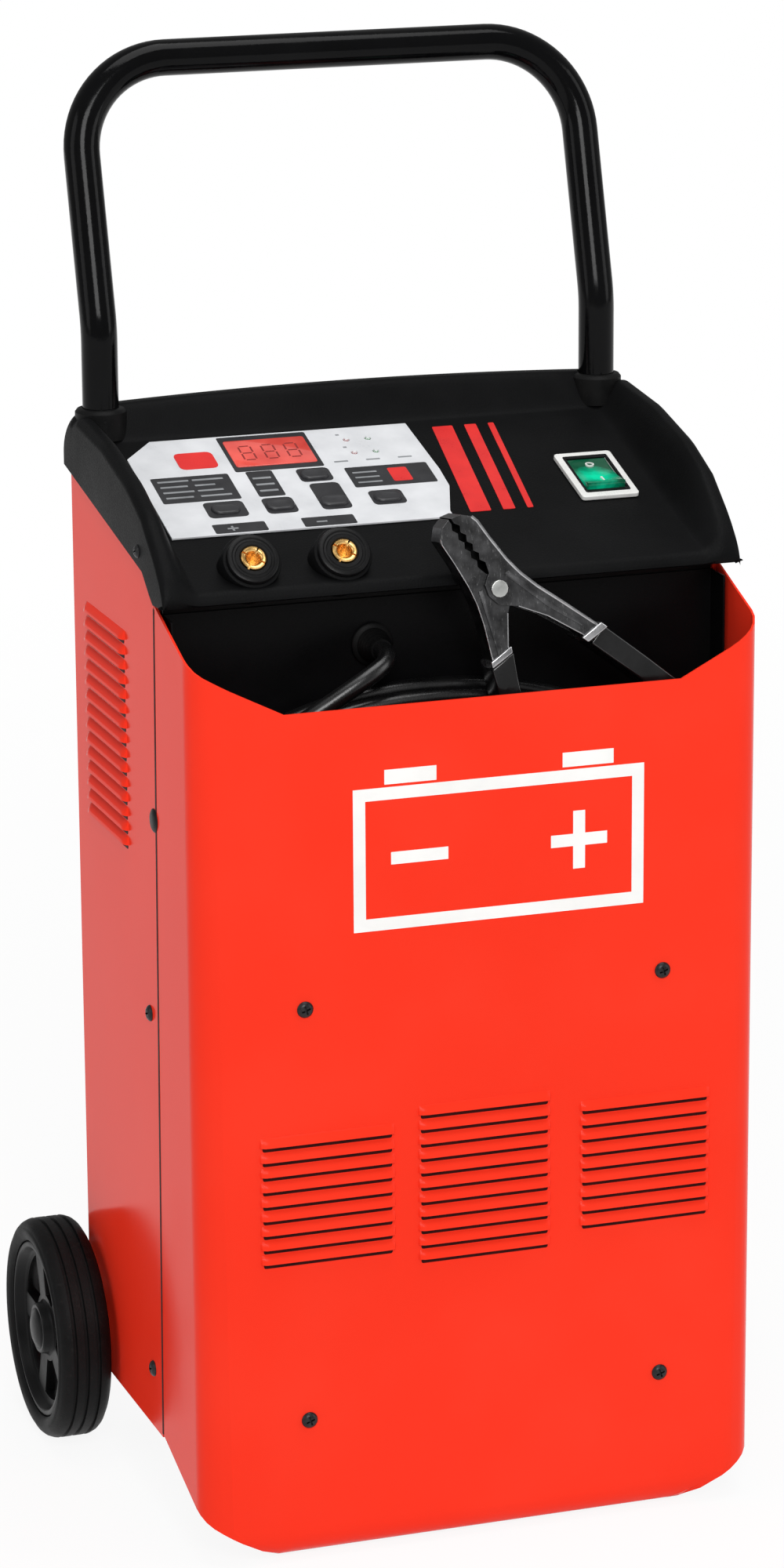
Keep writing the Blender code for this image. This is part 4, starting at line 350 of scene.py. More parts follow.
def rectangle(cx, cy, width, height):
    return [(cx - width / 2, cy - height / 2), (cx + width / 2, cy - height / 2),
            (cx + width / 2, cy + height / 2), (cx - width / 2, cy + height / 2)]


def block(low, high):
    """Cutter box between two corners."""
    deselect()
    centre = [(a + b) / 2 for a, b in zip(low, high)]
    bpy.ops.mesh.primitive_cube_add(size=1.0, location=centre)
    obj = bpy.context.object
    obj.scale = [b - a for a, b in zip(low, high)]
    bpy.ops.object.transform_apply(location=True, rotation=True, scale=True)
    return obj


def rod(start, axis, radius, length, sides=32):
    """Cutter cylinder from a start point along an axis."""
    deselect()
    bpy.ops.mesh.primitive_cylinder_add(vertices=sides, radius=radius, depth=length)
    obj = bpy.context.object
    centre = Vector(start) + Vector(axis).normalized() * length / 2
    obj.data.transform(Matrix.Translation(centre) @ facing(axis))
    return obj


def tube(name, path, radius, sides=6):
    """Round wire or cord along points, as a curve of one open spline."""
    curve = bpy.data.curves.new(name, "CURVE")
    curve.dimensions = "3D"
    curve.bevel_depth = radius
    curve.bevel_resolution = sides
    curve.use_fill_caps = True
    spline = curve.splines.new("POLY")
    spline.points.add(len(path) - 1)
    for point, place in zip(spline.points, path):
        point.co = (*place, 1.0)
    spline.use_smooth = True
    return new_object(name, curve)


def settle(obj, name, finish, body, nodes=(), smooth=35.0):
    """Name a finished piece, give it its finish and hang it on its body."""
    obj.name = name
    obj.data.name = name
    if obj.type == "MESH":
        activate(obj)
        bpy.ops.object.transform_apply(location=True, rotation=True, scale=True)
        if smooth:
            bpy.ops.object.shade_smooth_by_angle(angle=math.radians(smooth))
    obj.data.materials.clear()
    obj.data.materials.append(finish)
    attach(obj, body)
    if nodes:
        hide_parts(*nodes)
    return obj


def refine(node, finish, name=None, bevel=0.00025, segments=2, angle=30.0, smooth=35.0):
    """Rounded copy of a CAD solid that stands for it."""
    source = NODES[node]
    obj = new_object(node + "_fine", source.data.copy())
    edit(obj)
    bpy.ops.mesh.remove_doubles(threshold=1e-5)
    bpy.ops.mesh.dissolve_limited(angle_limit=math.radians(0.4))
    leave_edit()
    if bevel:
        round_edges(obj, bevel, segments, angle)
    settle(obj, name or node + "_fine", finish, source["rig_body"], (node,), smooth)
    level_normals(obj)
    return obj


def smooth_path(points, step):
    """Points about one step apart on a smooth curve through the given points."""
    points = [Vector(p) for p in points]
    knots = [points[0] * 2 - points[1]] + points + [points[-1] * 2 - points[-2]]
    path = []
    for i in range(1, len(knots) - 2):
        a, b, c, d = knots[i - 1:i + 3]
        count = max(1, round((c - b).length / step))
        for k in range(count):
            t = k / count
            path.append(0.5 * (2 * b + (c - a) * t + (2 * a - 5 * b + 4 * c - d) * t * t
                               + (3 * b - a - 3 * c + d) * t ** 3))
    path.append(points[-1])
    return path


# ---- Finishes -------------------------------------------------------------------------------

class Finish:
    """A node material whose patterns follow the piece's own coordinates."""

    def __init__(self, name):
        self.material = bpy.data.materials.new(name)
        self.material.use_nodes = True
        self.tree = self.material.node_tree
        self.shader = self.tree.nodes["Principled BSDF"]
        self.place = self.tree.nodes.new("ShaderNodeTexCoord").outputs["Object"]

    def link(self, source, target):
        self.tree.links.new(source, target)

    def stretched(self, scale):
        node = self.tree.nodes.new("ShaderNodeMapping")
        node.inputs["Scale"].default_value = scale
        self.link(self.place, node.inputs["Vector"])
        return node.outputs["Vector"]

    def noise(self, scale, detail=2.0, roughness=0.5, where=None):
        node = self.tree.nodes.new("ShaderNodeTexNoise")
        node.inputs["Scale"].default_value = scale
        node.inputs["Detail"].default_value = detail
        node.inputs["Roughness"].default_value = roughness
        self.link(where or self.place, node.inputs["Vector"])
        return node.outputs["Fac"]

    def cells(self, scale, feature="F1"):
        node = self.tree.nodes.new("ShaderNodeTexVoronoi")
        node.feature = feature
        node.inputs["Scale"].default_value = scale
        self.link(self.place, node.inputs["Vector"])
        return node.outputs["Distance"]

    def spread(self, value, low, high, start=0.3, end=0.7):
        node = self.tree.nodes.new("ShaderNodeMapRange")
        node.inputs["From Min"].default_value = start
        node.inputs["From Max"].default_value = end
        node.inputs["To Min"].default_value = low
        node.inputs["To Max"].default_value = high
        self.link(value, node.inputs["Value"])
        return node.outputs["Result"]

    def blend(self, factor, first, second):
        node = self.tree.nodes.new("ShaderNodeMix")
        node.data_type = "RGBA"
        self.link(factor, node.inputs[0])
        for socket, colour in ((node.inputs[6], first), (node.inputs[7], second)):
            if isinstance(colour, (tuple, list)):
                socket.default_value = (*colour, 1.0)
            else:
                self.link(colour, socket)
        return node.outputs[2]

    def add(self, first, second, operation="ADD"):
        node = self.tree.nodes.new("ShaderNodeMath")
        node.operation = operation
        for socket, value in ((node.inputs[0], first), (node.inputs[1], second)):
            if isinstance(value, (int, float)):
                socket.default_value = value
            else:
                self.link(value, socket)
        return node.outputs[0]

    def relief(self, height, depth, strength=1.0):
        node = self.tree.nodes.new("ShaderNodeBump")
        node.inputs["Strength"].default_value = strength
        node.inputs["Distance"].default_value = depth
        self.link(height, node.inputs["Height"])
        self.link(node.outputs["Normal"], self.shader.inputs["Normal"])

    def set(self, **values):
        for name, value in values.items():
            self.shader.inputs[name.replace("_", " ")].default_value = value


def grained(name, dark, light, rough, grain, depth, metal=0.0, patch=12.0, coat=0.0, coat_rough=0.1,
            where=(1.0, 1.0, 1.0), worn=None, gloss=0.5, ior=1.5):
    """Two shades in soft patches, uneven gloss and a fine relief; worn adds a paler rubbed tint."""
    found = bpy.data.materials.get(name)
    if found:
        return found
    made = Finish(name)
    space = made.stretched(where)
    patches = made.noise(patch, 4.0, 0.55)
    fine = made.noise(grain, 3.0, 0.6, space)
    colour = made.blend(made.spread(patches, 0.0, 1.0), dark, light)
    if worn:
        rubbed = made.spread(made.noise(patch * 9.0, 5.0, 0.7, space), 0.0, 1.0, 0.58, 0.74)
        colour = made.blend(rubbed, colour, worn)
    made.link(colour, made.shader.inputs["Base Color"])
    uneven = made.add(made.spread(patches, rough[0], rough[1]),
                      made.spread(fine, -0.04, 0.04), "ADD")
    made.link(uneven, made.shader.inputs["Roughness"])
    made.set(Metallic=metal, Coat_Weight=coat, Coat_Roughness=coat_rough, Specular_IOR_Level=gloss,
             IOR=ior)
    made.relief(fine, depth)
    return made.material


def red_paint():
    found = bpy.data.materials.get("red_powder_coat")
    if found:
        return found
    made = Finish("red_powder_coat")
    patches = made.noise(3.5, 3.0, 0.5)
    orange_peel = made.noise(420.0, 2.0, 0.5)
    colour = made.blend(made.spread(patches, 0.0, 1.0), tuple(colours().paint_dark), tuple(colours().paint))
    haze = made.spread(made.noise(14.0, 3.0, 0.5), 0.0, 0.03, 0.45, 0.75)
    colour = made.blend(haze, colour, (0.85, 0.16, 0.10))
    made.link(colour, made.shader.inputs["Base Color"])
    made.link(made.spread(made.noise(26.0, 4.0, 0.6), 0.12, 0.19), made.shader.inputs["Roughness"])
    made.set(Specular_IOR_Level=0.22, IOR=1.2)
    made.relief(orange_peel, 0.00005, 0.30)
    return made.material


def console_plastic():
    found = bpy.data.materials.get("console_plastic")
    if found:
        return found
    made = Finish("console_plastic")
    leather = made.cells(950.0)
    fine = made.noise(2600.0, 2.0, 0.6)
    height = made.add(leather, made.add(fine, 0.5, "MULTIPLY"), "ADD")
    patches = made.noise(14.0, 4.0, 0.6)
    colour = made.blend(made.spread(patches, 0.0, 1.0), (0.0030, 0.0031, 0.0033), (0.0058, 0.0059, 0.0062))
    made.link(colour, made.shader.inputs["Base Color"])
    made.link(made.add(made.spread(patches, 0.40, 0.50), made.spread(leather, -0.05, 0.05, 0.0, 0.6), "ADD"),
              made.shader.inputs["Roughness"])
    made.set(Specular_IOR_Level=0.12, IOR=1.3)
    made.relief(height, 0.00014, 0.55)
    return made.material


def gloss_black():
    return grained("gloss_black_enamel", (0.0012, 0.0012, 0.0014), (0.0024, 0.0024, 0.0027), (0.10, 0.16),
                   380.0, 0.00004, patch=20.0, gloss=0.2, ior=1.35)


def black_sheet():
    return grained("satin_black_enamel", (0.0016, 0.0016, 0.0018), (0.0034, 0.0034, 0.0037), (0.34, 0.46),
                   700.0, 0.00008, patch=16.0, gloss=0.2, ior=1.3)


def black_plastic():
    return grained("moulded_black_plastic", (0.0026, 0.0026, 0.0028), (0.0055, 0.0055, 0.0058), (0.30, 0.42),
                   1400.0, 0.00006, patch=60.0, gloss=0.3, ior=1.32)


def rubber():
    return grained("black_rubber", (0.0026, 0.0026, 0.0028), (0.006, 0.006, 0.006), (0.42, 0.56),
                   1800.0, 0.00005, patch=70.0, worn=(0.012, 0.012, 0.012), gloss=0.25, ior=1.3)


def lead_sheath():
    return grained("lead_sheath", (0.0022, 0.0022, 0.0024), (0.005, 0.005, 0.0052), (0.22, 0.32),
                   1200.0, 0.00004, patch=50.0, gloss=0.5)


def tyre_rubber():
    return grained("tyre_rubber", (0.0030, 0.0030, 0.0031), (0.0065, 0.0065, 0.0067), (0.46, 0.60),
                   900.0, 0.00012, patch=40.0, worn=(0.014, 0.0135, 0.013), gloss=0.25, ior=1.3)


def zinc():
    return grained("zinc_plate", (0.48, 0.49, 0.48), (0.66, 0.67, 0.64), (0.30, 0.44), 240.0, 0.00004,
                   metal=1.0, patch=90.0)


def brass():
    return grained("turned_brass_finish", (0.66, 0.38, 0.12), (0.86, 0.56, 0.22), (0.20, 0.32), 900.0,
                   0.00003, metal=1.0, patch=220.0, where=(1.0, 4.0, 4.0), worn=(0.55, 0.33, 0.14))


def clamp_steel():
    return grained("pressed_steel", (0.050, 0.050, 0.051), (0.115, 0.115, 0.118), (0.26, 0.40), 320.0,
                   0.00007, metal=1.0, patch=110.0, where=(1.0, 1.0, 0.25), worn=(0.30, 0.30, 0.30))


# Bright steel of the ferrules, and of the beads along the clamp arms' edges, where it is painted highlight.
def bright_steel():
    return grained("bright_steel_painted_highlight", (0.36, 0.36, 0.37), (0.55, 0.55, 0.56), (0.20, 0.32), 500.0, 0.00003,
                   metal=1.0, patch=160.0)


def clamp_grip():
    return grained("clamp_grip", (0.0030, 0.0030, 0.0032), (0.0065, 0.0065, 0.0068), (0.14, 0.22), 900.0,
                   0.00004, patch=90.0, gloss=0.6)


def dark_screw():
    return grained("blackened_screw", (0.010, 0.010, 0.011), (0.028, 0.028, 0.030), (0.32, 0.44), 1600.0,
                   0.00003, metal=0.6, patch=300.0, worn=(0.10, 0.10, 0.10))


def white_plastic():
    return grained("white_plastic", (0.70, 0.70, 0.68), (0.80, 0.80, 0.78), (0.26, 0.36), 1200.0, 0.00004,
                   patch=80.0)


def silver_film():
    return grained("silver_film", (0.60, 0.61, 0.63), (0.72, 0.73, 0.75), (0.28, 0.40), 1500.0, 0.00005,
                   patch=45.0, coat=0.3, coat_rough=0.15)


def colours():
    return bpy.context.scene.charger_colours


def sizes():
    return bpy.context.scene.charger_sizes


CARRIED = {
    "base_plate": ("zinc_tray", (0.46, 0.47, 0.46), (0.62, 0.63, 0.60), 1.0),
    "component_shelf": ("zinc_shelf", (0.46, 0.47, 0.46), (0.62, 0.63, 0.60), 1.0),
    "control_board": ("board_green", (0.012, 0.10, 0.035), (0.03, 0.20, 0.07), 0.0),
    "led_light_guide": ("light_guide", (0.55, 0.56, 0.58), (0.70, 0.71, 0.72), 0.0),
    "heat_sink": ("sink_aluminium", (0.55, 0.55, 0.56), (0.72, 0.72, 0.73), 1.0),
    "rectifier_diode_left": ("diode_nickel_left", (0.42, 0.41, 0.38), (0.60, 0.58, 0.54), 1.0),
    "rectifier_diode_right": ("diode_nickel_right", (0.42, 0.41, 0.38), (0.60, 0.58, 0.54), 1.0),
    "thermal_cutout": ("cutout_case", (0.015, 0.015, 0.016), (0.04, 0.04, 0.042), 0.0),
    "transformer_core": ("varnished_core", (0.030, 0.026, 0.022), (0.075, 0.065, 0.055), 0.5),
    "primary_winding": ("primary_enamel", (0.22, 0.075, 0.025), (0.40, 0.16, 0.06), 0.6),
    "secondary_winding": ("secondary_enamel", (0.30, 0.12, 0.04), (0.50, 0.24, 0.10), 0.6),
    "transformer_strap": ("strap_zinc", (0.46, 0.47, 0.46), (0.62, 0.63, 0.60), 1.0),
}


# ---- Property groups ------------------------------------------------------------------------

class ChargerSizes(bpy.types.PropertyGroup):
    """Sizes of the fine pieces."""
    edge_round: bpy.props.FloatProperty(name="Sheet edge", description="Rounding of the sheet metal's edges",
                                        default=0.00030, min=0.0, unit="LENGTH")
    hood_bulge: bpy.props.FloatProperty(name="Louvre bulge", description="How far a louvre hood stands out",
                                        default=0.0028, min=0.001, unit="LENGTH")
    lens_view: bpy.props.FloatProperty(name="Focal length", description="Camera focal length in millimetres",
                                       default=118.1, min=20.0)
    print_rise: bpy.props.FloatProperty(name="Print thickness", description="Thickness of printed marks",
                                        default=0.00012, min=0.00002, unit="LENGTH")


class ChargerColours(bpy.types.PropertyGroup):
    """Colours that a user would change."""
    paint: bpy.props.FloatVectorProperty(name="Paint", description="Cabinet paint", subtype="COLOR",
                                         default=(0.90, 0.038, 0.016), min=0.0, max=1.0)
    paint_dark: bpy.props.FloatVectorProperty(name="Paint shade", description="Darker patches of the paint",
                                              subtype="COLOR", default=(0.85, 0.033, 0.013), min=0.0, max=1.0)
    floor: bpy.props.FloatVectorProperty(name="Floor", description="Floor and backdrop", subtype="COLOR",
                                         default=(0.90, 0.90, 0.90), min=0.0, max=1.0)


# ---- Cabinet --------------------------------------------------------------------------------

class CHARGER_OT_cabinet(bpy.types.Operator):
    """Round the sheet metal's edges and paint it; give the inner parts their finishes"""
    bl_idname = "charger.cabinet"
    bl_label = "Cabinet"

    def execute(self, context):
        edge = sizes().edge_round
        for node in ("front_panel", "side_panel_left", "side_panel_right", "rear_panel"):
            refine(node, red_paint(), bevel=edge)
        refine("cable_pocket", black_sheet(), bevel=edge)
        for node, (name, dark, light, metal) in CARRIED.items():
            finish = grained(name, dark, light, (0.32, 0.50), 500.0, 0.00006, metal=metal, patch=55.0)
            mesh = NODES[node].data
            mesh.materials.clear()
            mesh.materials.append(finish)
        return {"FINISHED"}


def hood_mesh():
    """One pressed hood: bulging sheet with closed ends, open along its lower edge."""
    bulge = sizes().hood_bulge
    columns, rows = 18, 5
    deselect()
    bpy.ops.mesh.primitive_grid_add(x_subdivisions=columns, y_subdivisions=rows, size=2.0)
    obj = bpy.context.object
    for vert in obj.data.vertices:
        share = (vert.co.x + 1) / 2
        down = (1 - vert.co.y) / 2
        end = min(share, 1 - share) * 2
        place = math.copysign(1 - end ** 1.7, share - 0.5)      # columns gather at the ends
        x = place * HOOD_LENGTH / 2
        run = min(1.0, (HOOD_LENGTH / 2 - abs(x)) / 0.0045)
        swell = math.sqrt(max(0.0, 1 - (1 - run) ** 2))
        out = -0.0004 + (bulge + 0.0004) * swell * math.sin(math.pi / 2 * down ** 0.85)
        vert.co = (x, -out, HOOD_HEIGHT * (1 - down))
    apply_modifier(obj, "SOLIDIFY", thickness=0.0007, offset=-1.0)
    return tidy_faces(obj)


def repeated(source, places, name):
    """Copies of one mesh at several places, as one object."""
    bm = bmesh.new()
    for place in places:
        part = bmesh.new()
        part.from_mesh(source.data)
        part.transform(place)
        copy = bpy.data.meshes.new("copy")
        part.to_mesh(copy)
        part.free()
        bm.from_mesh(copy)
        bpy.data.meshes.remove(copy)
    mesh = bpy.data.meshes.new(name)
    bm.to_mesh(mesh)
    bm.free()
    return new_object(name, mesh)


# Dark red of the strips under the louvre hoods and along the side seams: painted shade.
def painted_shadow_red():
    return grained("painted_shadow_red", (0.020, 0.0010, 0.0008), (0.045, 0.0022, 0.0016), (0.5, 0.6), 600.0, 0.00004,
                   patch=40.0, gloss=0.1)


def shadow_strip_mesh():
    """Dark strip under one hood: where its slot opens under the lip, and painted shadow on the panel below
    it, down to the next hood.
    """
    obj = slab(rectangle(0.0, -0.00135, HOOD_LENGTH - 0.0040, 0.0027), -0.0003, 0.00012, 0.0011)
    obj.data.transform(UPRIGHT)
    return obj


class CHARGER_OT_louvres(bpy.types.Operator):
    """Add the bulging louvre hoods of the front and the sides, with dark strips of painted shadow under them,
    and painted shade along the side seams
    """
    bl_idname = "charger.louvres"
    bl_label = "Louvres"

    def execute(self, context):
        # Under each hood a dark strip: painted shadow below the lip.
        hood, slot = hood_mesh(), shadow_strip_mesh()
        front = [Matrix.Translation((centre, at(0.0), bottom + row * PITCH))
                 for centre, bottom, rows in FRONT_LOUVRES for row in range(rows)]
        settle(repeated(hood, front, "louvres"), "louvres_front", red_paint(), "cabinet")
        settle(repeated(slot, front, "slots"), "shadow_strips_front", painted_shadow_red(), "cabinet")
        centre, bottom, rows = SIDE_LOUVRES
        for label, side in (("left", -1), ("right", 1)):
            turn = Matrix.Rotation(math.radians(90.0 * side), 4, "Z")
            places = [Matrix.Translation((side * HALF_WIDTH, at(centre), bottom + row * PITCH)) @ turn
                      for row in range(rows)]
            settle(repeated(hood, places, "louvres"), "louvres_" + label, red_paint(), "cabinet")
            settle(repeated(slot, places, "slots"), "shadow_strips_" + label, painted_shadow_red(), "cabinet")
            # Dark red strip laid along the seam between the front and the side panel: painted shade of the
            # gap.
            (low_depth, low_z), (high_depth, high_z) = SEAM_LINE
            points = [(low_depth - SEAM_SHADE_HALF, low_z), (low_depth + SEAM_SHADE_HALF, low_z),
                      (high_depth + SEAM_SHADE_HALF, high_z), (high_depth - SEAM_SHADE_HALF, high_z)]
            dark_strip = slab(points, *SEAM_SHADE_XS, 0.0)
            dark_strip.data.transform(Matrix.Translation((0.0, FRONT_Y, 0.0))
                                @ Matrix(((0, 0, side), (1, 0, 0), (0, 1, 0))).to_4x4())
            settle(tidy_faces(dark_strip), "seam_painted_shade_" + label, painted_shadow_red(), "cabinet")
        drop(hood, slot)
        return {"FINISHED"}


# ---- Console --------------------------------------------------------------------------------

def edge_drop(past, radius):
    share = min(1.0, max(0.0, past / radius))
    return radius * (1 - math.sqrt(1 - share * share))


def console_height(x, depth):
    """Height of the moulding's top: sloping floor, raised cheeks and rear rim, round edges."""
    side = abs(x)
    floor = SLOPE_Z + (depth - SLOPE_DEPTH) * math.tan(SLOPE)
    cheek = along(CHEEK_OUTLINE, depth) - floor
    across = min(1.0, max(0.0, (side - FLOOR_HALF) / (CHEEK_TOP_X - FLOOR_HALF)))
    back = min(1.0, max(0.0, (depth - RIM_START) / (RIM_TOP_DEPTH - RIM_START)))
    rim = RIM_Z - RIM_ARCH * (side / CONSOLE_HALF) ** 2 - floor
    blend = (1 - math.cos(math.pi * across)) / 2
    lift = (1 - math.cos(math.pi * back)) / 2
    height = floor + max(cheek * blend, rim * lift)
    height -= edge_drop(side - (CONSOLE_HALF - EDGE_ROUND), EDGE_ROUND)
    height -= edge_drop(CONSOLE_FRONT + EDGE_ROUND - depth, EDGE_ROUND)
    height -= edge_drop(depth - (CONSOLE_REAR - REAR_ROUND), REAR_ROUND)
    corner = max(0.0, side - 0.150) / 0.0128 * max(0.0, depth - 0.205) / 0.0265
    return height - 0.013 * min(1.0, corner) ** 1.2


def stations(spans):
    """Positions from (start, end, steps) spans that follow each other."""
    found = [spans[0][0]]
    for start, end, steps in spans:
        found += [start + (end - start) * (k + 1) / steps for k in range(steps)]
    return found


def socket_axis():
    return Vector((0.0, math.cos(SOCKET_RISE), -math.sin(SOCKET_RISE)))


def socket_point(x, inward):
    return Vector((x, at(SOCKET_DEPTH), SOCKET_Z)) + socket_axis() * inward


def quarter(start, end, steps, gather_end=True):
    """Positions on a rounded edge, closest together where it is steepest."""
    found = []
    for k in range(1, steps + 1):
        angle = math.pi / 2 * k / steps
        share = math.sin(angle) if gather_end else 1 - math.cos(angle)
        found.append(start + (end - start) * share)
    return found


def console_shell():
    half = stations(((0.0, FLOOR_HALF, 10), (FLOOR_HALF, CHEEK_TOP_X, 14)))
    half += quarter(CONSOLE_HALF - EDGE_ROUND, CONSOLE_HALF, 9)
    xs = [-x for x in reversed(half[1:])] + half
    front = [2 * CONSOLE_FRONT + EDGE_ROUND - d
             for d in quarter(CONSOLE_FRONT, CONSOLE_FRONT + EDGE_ROUND, 8)]
    depths = sorted(front) + [CONSOLE_FRONT + EDGE_ROUND]
    depths += stations(((0.0500, RIM_START, 24), (RIM_START, RIM_TOP_DEPTH, 12), (RIM_TOP_DEPTH, 0.2235, 2)))
    depths += quarter(CONSOLE_REAR - REAR_ROUND, CONSOLE_REAR, 8)
    depths = sorted(set(round(d, 6) for d in depths))
    columns, rows = len(xs) - 1, len(depths) - 1
    deselect()
    bpy.ops.mesh.primitive_grid_add(x_subdivisions=columns, y_subdivisions=rows, size=2.0)
    obj = bpy.context.object
    for vert in obj.data.vertices:
        x = xs[round((vert.co.x + 1) / 2 * columns)]
        depth = depths[round((vert.co.y + 1) / 2 * rows)]
        vert.co = (x, at(depth), console_height(x, depth))
    count = len(obj.data.vertices)
    edit(obj, "DESELECT", "EDGE")
    bpy.ops.mesh.select_non_manifold()
    bpy.ops.mesh.extrude_region_move(TRANSFORM_OT_translate={"value": (0, 0, -0.004)})
    leave_edit()
    for vert in list(obj.data.vertices)[count:]:
        depth = vert.co.y - FRONT_Y
        inward = 0.0018 * (1 - min(1.0, (depth - CONSOLE_FRONT) / 0.004))
        vert.co = (vert.co.x, vert.co.y + inward, along(SKIRT_OUTLINE, depth))
    tidy_faces(obj, 1e-6)
    apply_modifier(obj, "SOLIDIFY", thickness=CONSOLE_WALL, offset=-1.0, use_even_offset=False)
    return obj


class CHARGER_OT_console(bpy.types.Operator):
    """Mould the console with its cheeks, rim, socket bosses and openings"""
    bl_idname = "charger.console"
    bl_label = "Console"

    def execute(self, context):
        shell = console_shell()
        for x in SOCKET_XS:
            boss = turned(BOSS_PROFILE, socket_point(x, 0.0), socket_axis(), 48)
            combine(shell, boss, "UNION")
        place = slope_place()
        (left, near), (right, far) = WINDOW
        window = block((left, up_slope(near), -0.012), (right, up_slope(far), 0.004))
        cx, v = SWITCH[0], up_slope(SWITCH[1])
        half_w, half_v = SWITCH_BODY[0] / 2 + GAP, SWITCH_BODY[1] / 2 + GAP
        cut = block((cx - half_w, v - half_v, -0.012), (cx + half_w, v + half_v, 0.006))
        for cutter in (window, cut):
            cutter.data.transform(place)
            combine(shell, cutter)
        for x in SOCKET_XS:
            combine(shell, rod(socket_point(x, -0.02), socket_axis(), 0.0113, 0.060, 40))
        for side in (-1, 1):
            hole = rod((side * HANDLE_X, at(HANDLE_DEPTH), 0.540), (0, 0, 1), HANDLE_R + 0.0006, 0.100, 40)
            combine(shell, hole)
        settle(shell, "console_moulding", console_plastic(), "cabinet", ("console",), 40.0)
        dark_strip = slab(rectangle(0.0, 0.5264, 0.3120, 0.0210), 0.0, 0.0025, 0.0)
        dark_strip.data.transform(Matrix.Translation((0.0, at(0.0715), 0.0)) @ UPRIGHT)
        round_edges(dark_strip, 0.0006)
        settle(dark_strip, "pocket_seal", rubber(), "cabinet")
        return {"FINISHED"}


class CHARGER_OT_sockets(bpy.types.Operator):
    """Turn the two output sockets: black collars round brass inserts"""
    bl_idname = "charger.sockets"
    bl_label = "Sockets"

    def execute(self, context):
        for label, x in zip(("left", "right"), SOCKET_XS):
            start = socket_point(x, -0.0033)
            collar = turned(COLLAR_PROFILE, start, socket_axis(), 72, True)
            settle(collar, "socket_ring_" + label, black_plastic(), "cabinet",
                   ("socket_collar_" + label,))
            insert = turned(CONTACT_PROFILE, start + socket_axis() * -0.0006, socket_axis(), 64)
            for turn in (0.0, math.pi / 2):
                cross = block((-0.0070, -0.0005, -0.001), (0.0070, 0.0005, 0.0030))
                cross.data.transform(Matrix.Rotation(turn + 0.6, 4, "Z"))
                cross.data.transform(Matrix.Translation(start + socket_axis() * -0.0006)
                                     @ facing(socket_axis()))
                combine(insert, cross)
            settle(insert, "socket_contact_" + label, brass(), "cabinet",
                   ("socket_insert_" + label,))
        return {"FINISHED"}


# ---- Control panel --------------------------------------------------------------------------

def on_film(name, parts, finish, body="cabinet", rise=None, lift=0.0):
    """Thin printed or moulded marks on the control panel. parts: (outline in X and depth, corner radius)."""
    rise = rise or sizes().print_rise
    made = []
    for outline, corner in parts:
        points = [(x, up_slope(depth)) for x, depth in outline]
        made.append(slab(points, FILM_TOP + lift - 0.0002, FILM_TOP + lift + rise, corner))
    obj = unite(made, name)
    obj.data.transform(slope_place())
    return settle(obj, name, finish, body, (), 30.0)


def patch(left, near, right, far):
    return [(left, near), (right, near), (right, far), (left, far)]


